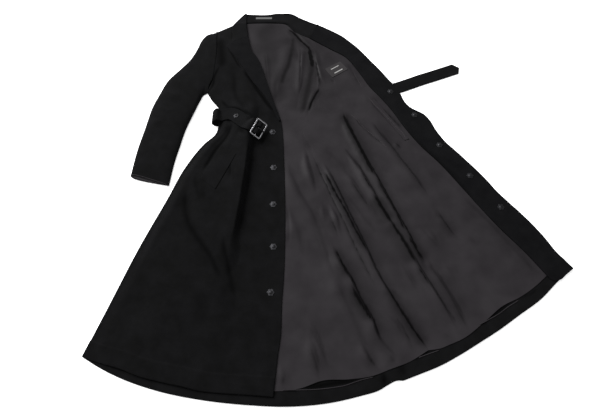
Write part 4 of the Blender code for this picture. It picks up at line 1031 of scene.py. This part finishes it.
def make_lapel_and_leaf():
    """The turned lapel, the collar's leaf beside it and the flap of the pocket, on the right front."""
    below = carried_over(10)
    plan = patch((LAPEL_FOOT, GORGE_RIGHT, LAPEL_EDGE, ROLL_LINE), shares(60, 3.0), shares(350, 3.5))
    lay(below, "right_lapel", plan, LAPEL_WALL, FACING_FINISH,
        folds=LAPEL_FOLDS)
    foot = np.array(LEAF_FOOT) - (0.0, GORGE_CLOSED)
    sides = np.vstack([foot[:1], LEAF_OUTER[1:]]), np.vstack([foot[-1:], LEAF_ROLL[1:]])
    plan = patch((foot, LEAF_TOP, *sides), shares(48, 3.0), shares(120, 3.0))
    lay(below, "collar_leaf", plan, LAPEL_WALL, WOOL_FINISH)
    plan = corner_plan(POCKET_FLAP, shares(60, 3.0), shares(134, 3.0))
    lay(carried_over(8), "pocket_flap", plan, FLAP_WALL, WOOL_FINISH,
        lift=FLAP_LIFT)


def make_rolled_lapel():
    """The left lapel, rolled under its own front."""
    edges = LEFT_LAPEL_FOOT, LEFT_LAPEL_TOP, LEFT_LAPEL_EDGE, LEFT_LAPEL_ROLL
    plan = patch(edges, shares(60, 4.0), shares(350, 6.0))
    lay(carried_over(9), "left_lapel", plan, WOOL, FACING_FINISH)


# Collar

def collar_plan():
    """The collar's seam, roll and foot, with the way out over the roll, column by column."""
    columns = shares(270, 4.0)
    seam, roll, foot = (smooth_line(edge)(columns) for edge in (STAND_SEAM, STAND_ROLL, FALL_FOOT))
    out = unit(roll - seam)
    return seam - out * STAND_OVER, roll - out * (COLLAR_ROLL_RADIUS + WOOL / 2), foot, out


def collar_fall():
    """The collar's outer half, flat on the floor below the neck."""
    _, roll, foot, _ = collar_plan()
    fall = roll + (foot - roll) * np.linspace(0, 1, FALL_ROWS)[:, None, None]
    return np.dstack([fall, np.full(fall.shape[:2], WOOL / 2)])


def make_collar():
    """The collar in one sheet: up the stand, round the soft roll at the neck, and down the fall below."""
    seam, roll, _, out = collar_plan()
    stand = seam + (roll - seam) * np.linspace(0, 1, STAND_ROWS)[:, None, None]
    height = read_map(carried_over(9), stand) + AIR + WOOL / 2
    height -= WOOL * (1 - smooth_step(np.linspace(0, STAND_SUNK, STAND_ROWS)))[:, None]
    low = WOOL / 2
    high = height[-1] = np.maximum(height[-1], low + 2 * COLLAR_ROLL_RADIUS)
    angles = np.radians(np.linspace(ROLL_END, -ROLL_END, ROLL_ROWS))[:, None]
    turn = roll + out * COLLAR_ROLL_RADIUS * np.cos(angles)[..., None]
    turn = np.dstack([turn, (low + high) / 2 + (high - low) / 2 * np.sin(angles)])
    stand = np.dstack([stand, height])
    middle = np.concatenate([stand, turn, collar_fall()])
    collar = shell("collar_cloth", middle, WOOL, WOOL_FINISH, upright=False, node="collar")
    mark(stand, WOOL / 2)


# Sleeves

def squared(x, power):
    """A wave squared off by a power of its size."""
    return np.sign(x) * np.abs(x) ** power


def sleeve_rings(edges, heights, count, around, shift=0.0):
    """Outer and inner rings of a sleeve lying flat: each has a flat underside and a round top.

    A ring runs across the plan by a squared-off cosine, and up and down by powers of the sine. At the cuff
    its lower half is drawn on by shift.
    """
    angles, rows = round_about(around), np.linspace(0, 1, count)
    sines = np.sin(angles)
    across = 0.5 - 0.5 * squared(np.cos(angles), RING_SQUARE)
    plan = patch(edges, np.linspace(0, 1, RING_LINES), rows)
    top = np.interp(rows, *np.array(heights).T)[:, None]
    width = run_of(plan, 1)[:, -1:]
    row = np.arange(count)[:, None]
    middle = np.minimum(WOOL + AIR, top / 2)
    up, down = np.clip(sines, 0, 1) ** RING_TOP, np.clip(-sines, 0, 1) ** RING_UNDER
    fade = np.clip(1 - rows / CUFF_SHARE, 0, None)[:, None]
    skins = []
    for inset, low in ((0.0, 0.0), (WOOL + SKIN_GAP, WOOL)):
        u = inset / width + across * (1 - 2 * inset / width)
        at = u * (RING_LINES - 1)
        i = np.clip(at.astype(int), 0, RING_LINES - 2)
        part = (at - i)[..., None]
        place = plan[row, i] * (1 - part) + plan[row, i + 1] * part
        y = place[..., 1] - shift * fade * (1 - sines) / 2 * (1 - u)
        z = middle + (top - low - middle) * up - (middle - low) * down
        skins.append(np.dstack([place[..., 0], y, z]))
    return skins, sines


def make_right_sleeve():
    """The right sleeve beside the body, clear of the side edges that it is sewn to, creased at the elbow.

    With it come the strip of its lining inside the cuff, drawn lighter as painted light in the cuff's shade,
    lighter satin cords along the cuff's pressed edges as a painted highlight, and the armhole's seam.
    """
    edges = SLEEVE_CUFF, ARMHOLE, SLEEVE_OUTER, SLEEVE_INNER
    skins, sines = sleeve_rings(edges, SLEEVE_TOP_HEIGHTS, 120, 72, CUFF_LOWER_SHIFT)
    rise, painted_shade = folds_at(skins[0], SLEEVE_FOLDS)
    upper = smooth_step(sines * 2.5)
    body = along(BACK_SIDE, 300)
    body = body[np.argsort(body[:, 1])]
    for rings in skins:
        rings[..., 2] += rise * upper
        limits = [np.interp(rings[..., 1] + ease, body[:, 1], body[:, 0])
                  for ease in (-ARMPIT_EASE, 0.0, ARMPIT_EASE)]
        beside = smooth_step((rings[..., 1] - ARMHOLE[-1][1] + 14.0) / 6.0)
        over = rings[..., 0] - (np.min(limits, axis=0) + SEAM_OVERLAP)
        rings[..., 0] -= np.maximum(over, 0.0) * beside
    # The folds' feet give the upper half of the sleeve painted shade
    sleeve = tube_shell("right_sleeve_cloth", skins, WOOL_FINISH, painted_shade * upper, node="right_sleeve")
    strip = skins[1][:CUFF_LINING_ROWS, len(sines) // 2 + 1:] + (0.0, 0.0, LINING / 2 + 0.1)
    lining = shell("cuff_lining_cloth", strip, LINING * 0.8, CUFF_LINING_FINISH)
    # Lighter satin cords on the cuff's edges: a painted highlight
    for number, (first, last, height, skin) in enumerate(CUFF_HIGHLIGHTS, 1):
        ring = skins[skin][0]
        at = np.linspace(first, last, 44) * len(ring)
        edge = np.column_stack([np.interp(at, np.arange(len(ring)), ring[:, k]) for k in range(3)])
        wire("cuff_edge_highlight_%d" % number, edge + (0.0, 0.0, height), CUFF_HIGHLIGHT_RADIUS, LINING_FINISH)
    seam = np.column_stack([along(ARMHOLE, 60) + (0.5, 0.0), np.full(60, SEAM_CORD + SEAM_CORD_LIFT)])
    wire("armhole_seam_allowance", seam, SEAM_CORD, WOOL_FINISH, sides=12)


def make_left_sleeve():
    """The left sleeve, folded flat below the opened front and over the belt."""
    edges = HIDDEN_CUFF, HIDDEN_HEAD, HIDDEN_OUTER, HIDDEN_INNER
    skins, sines = sleeve_rings(edges, ((0.0, HIDDEN_HEIGHT), (1.0, HIDDEN_HEIGHT)), 60, 40)
    below = carried_over(30)
    for rings in skins:
        rings[..., 2] += read_map(below, rings) + AIR
    mark(skins[0][:, : len(sines) // 2 + 1])
    sleeve = tube_shell("left_sleeve_cloth", skins, WOOL_FINISH, node="left_sleeve")


# Thread and hem edges

def on_top(places, spacing, height):
    """Places along a line in the plan, evenly spaced, at a height over all that lies there."""
    line = along(places, max(3, round(run_of(np.array(places, float))[-1] / spacing)))
    return np.column_stack([line, read_map(lying, line) + height])


def stitches(name, places):
    """A row of stitches: each is a bead of thread along the line, half sunk, with a cap at each end.

    A bead is a ring of points swept along its run, its radius a power of one less its share squared.
    """
    line = on_top(places, STITCH_PITCH, 0.1)[:, None, None]
    run, side, up = (way[:, None, None] for way in square_to(line[:, 0, 0]))
    share, angles = np.array(BEAD_SHARES), round_about(6)[:, None]
    wide = THREAD_RADIUS * np.sqrt(1 - share**2) ** 0.6
    beads = line + run * (share * STITCH_LENGTH / 2)[:, None, None] + wide[:, None, None] * (
        np.cos(angles) * side + np.sin(angles) * up
    )
    index = numbered(len(share), len(angles))
    bead = np.concatenate([quads(index, across=True), BEAD_CAPS])
    faces = (bead + index.size * np.arange(len(line))[:, None, None]).reshape(-1, 4)
    piece(name, beads.reshape(-1, 3), faces, THREAD_FINISH)


def make_trimmings():
    """Lighter satin cords along the pressed edge of the turned-up hem, where it shows, as a painted
    highlight, and the stitching round the inner pocket.
    """
    for number, places in enumerate(HEM_HIGHLIGHTS, 1):
        wire("hem_edge_highlight_%d" % number, on_top(places, 4.0, 0.4), HEM_HIGHLIGHT_RADIUS, LINING_FINISH)
    for number, places in enumerate(STITCHED_LINES, 1):
        stitches("pocket_stitches_%d" % number, places)


# Belt

def level_across(centres):
    """Width direction at each place along the belt's middle, level and square to its run."""
    run = np.gradient(centres[:, :2], axis=0)
    return unit(np.column_stack([run[:, 1], -run[:, 0]]))


def ribbon(centres, across):
    """Rows of three along a middle line: the belt's edge, its middle and its other edge."""
    plan = centres[:, None, :2] + across[:, None, :] * BELT_ACROSS[:, None]
    return np.dstack([plan, np.repeat(centres[:, 2:], 3, axis=1)])


def on_buckle(points):
    """Points of the buckle's place in the coat's: X down across it, Y along its bars, Z off its face."""
    bars = Vector(BAR_DIRECTION).normalized()
    down = Vector(BUCKLE_DOWN)
    down = (down - bars * down.dot(bars)).normalized()
    return np.asarray(points, float) @ np.array((down, bars, down.cross(bars))) + BUCKLE_CENTRE


def belt_floor():
    """The stretch on the floor, from the pointed end, below the coat, to the side of the waist."""
    line = along(BELT_BELOW, 21)
    centres = np.column_stack([line, np.full(len(line), BELT_WALL / 2)])
    return ribbon(centres, level_across(centres))


def make_belt(floor_rows):
    """The whole belt as one ribbon: pointed end, floor, turn at the waist, over the front, round the bar."""
    turn = ribbon(np.array(BELT_TURN), np.tile([0.0, 1.0], (len(BELT_TURN), 1)))
    centres = np.pad(along(BELT_ABOVE, 11), ((0, 0), (0, 1)))
    across = level_across(centres)
    above = ribbon(centres, across * np.sign(across[:, 1:]))
    above[..., 2] = read_map(carried_over(16), above) + BELT_WALL / 2 + BELT_OVER_FRONT
    hook = along(BELT_HOOK, 21)
    hook = on_buckle(np.dstack(np.broadcast_arrays(hook[:, :1], BELT_ACROSS, hook[:, 1:])))
    coarse = np.concatenate([floor_rows, turn, above, hook])
    run = run_of(coarse[:, 1])
    rows = line_through(run, coarse.reshape(len(coarse), -1))
    rows = rows(np.linspace(0, run[-1], BELT_ROWS)).reshape(-1, 3, 3)
    across = shares(BELT_WIDTH, 3.6, 1.8)
    at = across * 2
    i = np.minimum(at.astype(int), 1)
    grid = rows[:, i] * (1 - (at - i))[:, None] + rows[:, i + 1] * (at - i)[:, None]
    point = (BELT_SHOULDER + BELT_POINT * (1 - np.abs(across - 0.5) * 2)) * np.array(POINT_SHARES)[:, None]
    grid = np.concatenate([grid[0] + unit(rows[0, 1] - rows[1, 1]) * point[..., None], grid])
    grid[..., 2] = np.maximum(grid[..., 2], BELT_WALL / 2)
    belt = shell("belt_cloth", grid, BELT_WALL, WOOL_FINISH, upright=False, node="belt")
    cut_prong_slot(belt)
    mark(grid, BELT_WALL / 2)


def cut_prong_slot(belt):
    """The slot in the belt's turn, through which the prong comes out: a box taken out of the cloth."""
    half = np.array((7.5, PRONG_SLOT / 2, 8.0))
    corners = np.array([(a, b, c) for a in (-1, 1) for b in (-1, 1) for c in (-1, 1)]) * half
    faces = ((0, 1, 3, 2), (4, 6, 7, 5), (0, 4, 5, 1), (2, 3, 7, 6), (0, 2, 6, 4), (1, 5, 7, 3))
    mesh = bpy.data.meshes.new("slot")
    mesh.from_pydata((on_buckle(corners) * MM).tolist(), [], faces)
    cutter = bpy.data.objects.new("slot", mesh)
    bpy.context.scene.collection.objects.link(cutter)
    cut = belt.modifiers.new("prong slot", "BOOLEAN")
    cut.object = cutter
    cut.solver = "EXACT"
    bpy.context.view_layer.update()
    graph = bpy.context.evaluated_depsgraph_get()
    done = bpy.data.meshes.new_from_object(belt.evaluated_get(graph), depsgraph=graph)
    belt.modifiers.clear()
    belt.data = done
    bpy.data.objects.remove(cutter)


# Buckle, prong and press studs

def make_buckle():
    """The buckle's frame: a rounded bar carried round a rectangle with round corners, and its centre bar."""
    half = (np.array((BUCKLE_WIDTH, BUCKLE_LENGTH)) - BUCKLE_BAR) / 2
    turn = (np.radians(np.linspace(0, 90, 9)) + np.arange(4)[:, None] * math.pi / 2).ravel()
    out = np.column_stack([np.cos(turn), np.sin(turn)])
    corner = np.repeat(((1, 1), (-1, 1), (-1, -1), (1, -1)), 9, axis=0) * (half - BUCKLE_CORNER)
    path = corner + BUCKLE_CORNER * out
    angles = round_about(20)[:, None]
    wide = squared(np.cos(angles), BAR_SQUARE) * BUCKLE_BAR / 2
    tall = squared(np.sin(angles), BAR_SQUARE) * BUCKLE_THICKNESS / 2
    rings = np.concatenate([path[:, None] + out[:, None] * wide, np.tile(tall, (len(path), 1, 1))], axis=2)
    faces = quads(numbered(len(path), len(angles)), down=True, across=True)
    piece("buckle_frame_cast", on_buckle(rings.reshape(-1, 3)), faces, BUCKLE_FINISH, node="buckle_frame")
    bar = on_buckle([(0.0, s * (half[1] - 1.0), 0.0) for s in np.linspace(-1, 1, 9)])
    wire("buckle_centre_bar", bar, CENTRE_BAR / 2, BUCKLE_FINISH, sides=16)


def make_prong():
    """A wire bent round the centre bar and laid on the right bar, with a rounded end."""
    angles = np.radians(np.linspace(-62, -285, 26))
    bend = PRONG_LOOP * np.column_stack([np.cos(angles), np.sin(angles)])
    arm = bend[-1], (5.0, 3.7), (9.0, 3.45), (13.0, PRONG_REST + 0.1), (PRONG_REACH, PRONG_REST)
    tip = [(PRONG_REACH + d, PRONG_REST - d * 0.12) for d in (0.4, 0.8, 1.05)]
    path = np.insert(np.concatenate([bend, along(arm, 30)[1:], tip]), 1, 0.0, axis=1)
    radius = PRONG_WIRE * np.concatenate([np.ones(len(path) - 3), (0.9, 0.68, 0.3)])
    wire("prong_wire", on_buckle(path), radius, METAL_FINISH, sides=14, body="prong", node="buckle_prong")


def rest_on(x, y, reach):
    """Height and slope of what lies below a round foot: the level plane that fits it best, lifted clear."""
    step = np.arange(-reach, reach + 1, STUD_STEP)
    near = np.stack(np.meshgrid(step, step), -1).reshape(-1, 2)
    near = near[np.hypot(near[:, 0], near[:, 1]) <= reach]
    heights = read_map(lying, near + (x, y))
    slope = np.linalg.lstsq(np.column_stack([near, np.ones(len(near))]), heights, rcond=None)[0][:2]
    return (heights - near @ slope).max(), Vector((*-slope, 1.0)).normalized()


def make_stud(name, x, y, finish, size=1.0):
    """A sewn press stud: an outline turned about its axis, its rim waved into lobes, with holes' dimples."""
    outline = np.array(STUD_OUTLINE)
    angles = round_about(STUD_SIDES)
    radius, height, lobe = outline[1:-1].T[..., None]
    reach = STUD_RADIUS * size * radius * (1 + lobe * np.cos(STUD_LOBES * angles))
    dimple = bell((radius - DIMPLE_AT) / DIMPLE_WIDTH) * np.clip(np.cos(STUD_LOBES * angles), 0, 1) ** 6
    z = (height - DIMPLE_DEPTH * dimple * (height > 0.7)) * size
    rings = np.dstack([reach * np.cos(angles), reach * np.sin(angles), z])
    floor, normal = rest_on(x, y, STUD_RADIUS * size)
    turn = np.array(Vector((0.0, 0.0, 1.0)).rotation_difference(normal).to_matrix())
    local = np.concatenate([rings.reshape(-1, 3), [(0, 0, 0), (0, 0, outline[-1, 1] * size)]])
    points = local @ turn.T + (x, y, floor + STUD_AIR)
    index = numbered(len(rings), STUD_SIDES)
    caps = fan(index.size, index[0])[:, ::-1], fan(index.size + 1, index[-1])
    piece(name + "_cast", points, np.concatenate([quads(index, across=True), *caps]), finish, node=name)


# Labels

def make_labels():
    """The inner label with its two plain bars, the tape at the neck, and the welt of the inner pocket."""
    plan = corner_plan(INNER_WELT, shares(15, 1.5, 1.0), shares(175, 3.0))
    lay(carried_over(5), "inner_pocket_welt", plan, WELT_WALL, LINING_FINISH)
    corners = turned_rectangle(INNER_LABEL_CENTRE, INNER_LABEL_SIZE, INNER_LABEL_TURN)
    plan = corner_plan(corners, shares(64, 2.0, 1.0), shares(44, 2.0, 1.0))
    lay(carried_over(6), "inner_label", plan, LABEL_WALL, LABEL_FINISH)
    for number, (centre, size) in enumerate(LABEL_BARS, 1):
        corners = turned_rectangle(centre, size, INNER_LABEL_TURN)
        plan = corner_plan(corners, shares(size[0], 2.0, 0.4), shares(size[1], 0.7, 0.3))
        middle = np.dstack([plan, read_map(blur(lying, 3), plan) + AIR])
        shell("inner_label_bar_%d" % number, middle, BAR_WALL, TAPE_FINISH)
    corners = turned_rectangle(NECK_LABEL_CENTRE, NECK_LABEL_SIZE, 0.0)
    plan = corner_plan(corners, shares(58, 2.0, 1.0), shares(10, 1.5, 1.0))
    lay(carried_over(6), "neck_label", plan, LABEL_WALL, NECK_TAPE_FINISH)


# Finishes

def linear(colour):
    """An sRGB hex colour as linear red, green, blue and alpha."""
    parts = [int(colour[k:k + 2], 16) / 255 for k in (1, 3, 5)]
    return (*(c / 12.92 if c <= 0.04045 else ((c + 0.055) / 1.055) ** 2.4 for c in parts), 1.0)


def feed(tree, node, inputs):
    """Gives a node's sockets their values or links."""
    for socket, value in inputs.items():
        if isinstance(value, bpy.types.NodeSocket):
            tree.links.new(value, node.inputs[socket])
        else:
            node.inputs[socket].default_value = value


def add(tree, kind, inputs, ramp=(), **settings):
    """Adds one node: inputs feed its sockets, ramp places its two colours and settings are its own fields."""
    made = tree.nodes.new(kind)
    for field, value in settings.items():
        setattr(made, field, value)
    for number, (place, colour) in enumerate(ramp):
        made.color_ramp.elements[number].position = place
        made.color_ramp.elements[number].color = linear(colour)
    feed(tree, made, inputs)
    return made


def new_finish(name, **sockets):
    """A material, its nodes and its shader, whose constant values are set on its own sockets."""
    made = bpy.data.materials.new(name)
    made.use_nodes = True
    shader = made.node_tree.nodes["Principled BSDF"]
    feed(made.node_tree, shader, {socket.replace("_", " "): value for socket, value in sockets.items()})
    return made, made.node_tree, shader


def wool(name, dark, light):
    """Wool coating, woven from carded yarn, milled and brushed.

    To the eye it is matt and nearly black, with a short nap that lies in soft patches and catches light
    at grazing angles. The nap's fibres, 0.02 mm, are drawn as 1.2 mm tufts, the finest that show.
    """
    made, tree, shader = new_finish(
        name, Roughness=0.95, Specular_IOR_Level=0.03, Sheen_Weight=0.02, Sheen_Roughness=0.5,
        Sheen_Tint=(0.8, 0.8, 0.85, 1.0),
    )
    place = add(tree, "ShaderNodeTexCoord", {}).outputs["Object"]
    soft = add(tree, "ShaderNodeTexNoise", {"Vector": place, "Scale": 28.0, "Detail": 3.0, "Roughness": 0.55})
    tufts = add(tree, "ShaderNodeTexNoise", {"Vector": place, "Scale": 800.0, "Detail": 4.0,
                                             "Roughness": 0.7})
    blend = add(tree, "ShaderNodeMath", {0: soft.outputs["Fac"], 1: tufts.outputs["Fac"]},
                operation="MULTIPLY")
    tone = add(tree, "ShaderNodeValToRGB", {"Fac": blend.outputs[0]}, ((0.12, dark), (0.42, light)))
    # Painted shade: the tone is mixed towards near black where the attribute of painted shade marks a crease
    shade_amount = add(tree, "ShaderNodeAttribute", {}, attribute_name="painted_shade")
    share = add(tree, "ShaderNodeMath", {0: shade_amount.outputs["Fac"], 1: WOOL_PAINTED_SHADE}, operation="MULTIPLY")
    base = add(tree, "ShaderNodeMix", {0: share.outputs[0], 6: tone.outputs["Color"], 7: linear("#010101")},
               data_type="RGBA")
    nap = add(tree, "ShaderNodeBump", {"Strength": 0.5, "Distance": 0.0003, "Height": tufts.outputs["Fac"]})
    feed(tree, shader, {"Base Color": base.outputs[2], "Normal": nap.outputs["Normal"]})
    return made


def satin(name, dark, light):
    """Viscose satin lining: floats of smooth yarn that lie side by side.

    To the eye it is a dark warm grey with a broad soft shine, brighter where a fold turns to the light,
    and dull in a crease, where its colour is also painted dark as shade. Its yarns, 0.1 mm, are drawn as
    0.9 mm ribs along the cloth.
    """
    made, tree, shader = new_finish(
        name, Roughness=0.4, Specular_IOR_Level=0.03, Sheen_Weight=0.008, Sheen_Roughness=0.4,
        Sheen_Tint=(0.9, 0.85, 0.88, 1.0),
    )
    place = add(tree, "ShaderNodeTexCoord", {}).outputs["Object"]
    weave = add(tree, "ShaderNodeUVMap", {}, uv_map="cloth")
    ribs = add(tree, "ShaderNodeTexWave", {"Vector": weave.outputs["UV"], "Scale": 175.0, "Distortion": 0.6,
                                           "Detail": 2.0, "Detail Scale": 1.5}, bands_direction="X")
    shade = add(tree, "ShaderNodeTexNoise", {"Vector": place, "Scale": 16.0, "Detail": 3.0, "Roughness": 0.5})
    tone = add(tree, "ShaderNodeValToRGB", {"Fac": shade.outputs["Fac"]}, ((0.3, dark), (0.7, light)))
    # Painted shade: the tone is mixed towards near black in creases by the attribute of painted shade,
    # gathered to its core by a power; that core also makes the satin duller there
    shade_amount = add(tree, "ShaderNodeAttribute", {}, attribute_name="painted_shade")
    shade_core = add(tree, "ShaderNodeMath", {0: shade_amount.outputs["Fac"], 1: PAINTED_SHADE_CORE}, operation="POWER")
    share = add(tree, "ShaderNodeMath", {0: shade_core.outputs[0], 1: SATIN_PAINTED_SHADE}, operation="MULTIPLY")
    base = add(tree, "ShaderNodeMix", {0: share.outputs[0], 6: tone.outputs["Color"], 7: linear("#030303")},
               data_type="RGBA")
    wear = add(tree, "ShaderNodeMapRange", {"Value": shade.outputs["Fac"], "To Min": 0.34, "To Max": 0.44})
    dull = add(tree, "ShaderNodeMath", {0: wear.outputs["Result"], 1: shade_core.outputs[0]}, operation="MAXIMUM")
    rib = add(tree, "ShaderNodeBump", {"Strength": 0.25, "Distance": 0.00012, "Height": ribs.outputs["Fac"]})
    feed(tree, shader, {"Base Color": base.outputs[2], "Roughness": dull.outputs[0],
                        "Normal": rib.outputs["Normal"]})
    return made


def plated(name, dark, light, smooth=0.22, rough=0.42):
    """Gunmetal plating over cast zinc, tumbled: a dark grey metal with a soft shine and faint drag marks."""
    made, tree, shader = new_finish(name, Metallic=1.0, Roughness=0.3)
    place = add(tree, "ShaderNodeTexCoord", {}).outputs["Object"]
    drag = add(tree, "ShaderNodeTexNoise", {"Vector": place, "Scale": 260.0, "Detail": 5.0, "Roughness": 0.6})
    tone = add(tree, "ShaderNodeValToRGB", {"Fac": drag.outputs["Fac"]}, ((0.35, dark), (0.7, light)))
    soft = add(tree, "ShaderNodeMapRange", {"Value": drag.outputs["Fac"], "To Min": smooth, "To Max": rough})
    worn = add(tree, "ShaderNodeBump", {"Strength": 0.15, "Distance": 0.00005, "Height": drag.outputs["Fac"]})
    feed(tree, shader, {"Base Color": tone.outputs["Color"], "Roughness": soft.outputs["Result"],
                        "Normal": worn.outputs["Normal"]})
    return made


def tape(name, dark, light, rib):
    """Polyester tape, woven with cross ribs, 0.5 mm apart and drawn at rib: matt, with an even colour."""
    made, tree, shader = new_finish(name, Roughness=0.8, Specular_IOR_Level=0.2)
    place = add(tree, "ShaderNodeTexCoord", {}).outputs["Object"]
    ribs = add(tree, "ShaderNodeTexWave", {"Vector": place, "Scale": 0.16 / (rib * MM), "Distortion": 0.4},
               bands_direction="DIAGONAL")
    tone = add(tree, "ShaderNodeValToRGB", {"Fac": ribs.outputs["Fac"]}, ((0.0, dark), (1.0, light)))
    weave = add(tree, "ShaderNodeBump", {"Strength": 0.4, "Distance": 0.0001, "Height": ribs.outputs["Fac"]})
    feed(tree, shader, {"Base Color": tone.outputs["Color"], "Normal": weave.outputs["Normal"]})
    return made


# Studio

def stand(name, data, place):
    """An object of the studio, at its place in the scene."""
    made = bpy.data.objects.new(name, data)
    made.location = place
    bpy.context.scene.collection.objects.link(made)
    return made


def stand_camera():
    """The camera, at the photograph's angle."""
    seen = bpy.data.cameras.new("camera")
    seen.sensor_width, seen.lens, seen.clip_end = 36.0, CAMERA_LENS, 50.0
    camera = stand("camera", seen, CAMERA_PLACE)
    camera.rotation_euler = (math.radians(90.0 - CAMERA_ELEVATION), 0.0, 0.0)
    bpy.context.scene.camera = camera


def build_studio():
    """A white sweep that glows softly, a broad light from the upper left and an even white room."""
    white = (1.0, 1.0, 1.0, 1.0)
    floor = bpy.data.meshes.new("floor")
    corners = ((-FLOOR_SIDE, -FLOOR_SIDE), (FLOOR_SIDE, -FLOOR_SIDE), (FLOOR_SIDE, FLOOR_SIDE),
               (-FLOOR_SIDE, FLOOR_SIDE))
    floor.from_pydata([(*corner, FLOOR_LEVEL) for corner in corners], [], [(0, 1, 2, 3)])
    finish, tree, shader = new_finish("opal_acrylic_light_table", Roughness=0.9, Specular_IOR_Level=0.1,
                                      Emission_Color=white, Emission_Strength=FLOOR_GLOW)
    place = add(tree, "ShaderNodeTexCoord", {}).outputs["Object"]
    grain = add(tree, "ShaderNodeTexNoise", {"Vector": place, "Scale": 6.0})
    ramp = (0.0, "#f4f4f4"), (1.0, "#fafafa")
    tone = add(tree, "ShaderNodeValToRGB", {"Fac": grain.outputs["Fac"]}, ramp)
    feed(tree, shader, {"Base Color": tone.outputs["Color"]})
    floor.materials.append(finish)
    stand("floor", floor, (0.0, 0.0, 0.0))
    for name, place, aim, size, watts in LIGHTS:
        lamp = bpy.data.lights.new(name, "AREA")
        lamp.shape, lamp.energy = "RECTANGLE", watts
        lamp.size, lamp.size_y = size
        turn = (Vector(aim) - Vector(place)).to_track_quat("-Z", "Y")
        stand(name, lamp, place).rotation_euler = turn.to_euler()
    world = bpy.data.worlds.new("white room")
    world.use_nodes = True
    feed(world.node_tree, world.node_tree.nodes["Background"], {"Color": white, "Strength": ROOM_LIGHT})
    bpy.context.scene.world = world
    bpy.context.scene.view_settings.view_transform = "Standard"


stand_camera()
WOOL_FINISH = wool("milled_black_wool", "#080808", "#0f0f10"), "black_wool"
FACING_FINISH = wool("milled_black_wool_facing", "#070708", "#0e0e0f"), "black_wool_facing"
LINING_FINISH = satin("charcoal_viscose_satin", "#222022", "#292729"), "charcoal_lining"
# The sleeve's lining in the cuff: the same satin drawn lighter, as painted light in the shade of the cuff's
# mouth
CUFF_LINING_FINISH = satin("charcoal_viscose_satin_painted_lighter", "#343234", "#403e40"), "charcoal_lining"
METAL_FINISH = plated("gunmetal_plating", "#202022", "#3a3a3c", 0.45, 0.62), "gunmetal"
DULL_FINISH = plated("gunmetal_plating_dulled", "#121213", "#242425", 0.3, 0.5), "gunmetal"
BUCKLE_FINISH = plated("gunmetal_plating_brushed_bright", "#8a8a8d", "#b4b4b7"), "gunmetal"
THREAD_FINISH = tape("polyester_thread", "#3a3638", "#4a4648", 0.8), "charcoal_lining"
# A darker copy of the pale tape: painted shade on the neck label
NECK_TAPE_FINISH = tape("pale_woven_tape_in_shade", "#484847", "#565655", 1.0), "pale_tape"
TAPE_FINISH = tape("pale_woven_tape", "#7d7d7b", "#908f8e", 1.0), "pale_tape"
LABEL_FINISH = tape("black_woven_label", "#1d1b1c", "#262325", 1.0), "black_tape"

# What lies lowest is laid first, and the belt's stretch on the floor and the collar's fall are marked before
# the pieces that lie over them, though each is built later as one with its upper part.
floor_rows = belt_floor()
mark(floor_rows, BELT_WALL / 2)
make_rolled_lapel()
mark(collar_fall(), WOOL / 2)
make_left_sleeve()
make_body()
make_linings()
make_collar()
make_facing()
make_labels()
make_trimmings()
make_right_front()
make_right_sleeve()
make_lapel_and_leaf()
make_belt(floor_rows)
make_buckle()
make_prong()
for kind, places in (("front", STUDS_RIGHT), ("facing", STUDS_LEFT)):
    for number, (x, y) in enumerate(places, 1):
        make_stud("%s_stud_%d" % (kind, number), x, y, METAL_FINISH)
make_stud("belt_stud", *BELT_STUD, DULL_FINISH, BELT_STUD_SHARE)
build_studio()
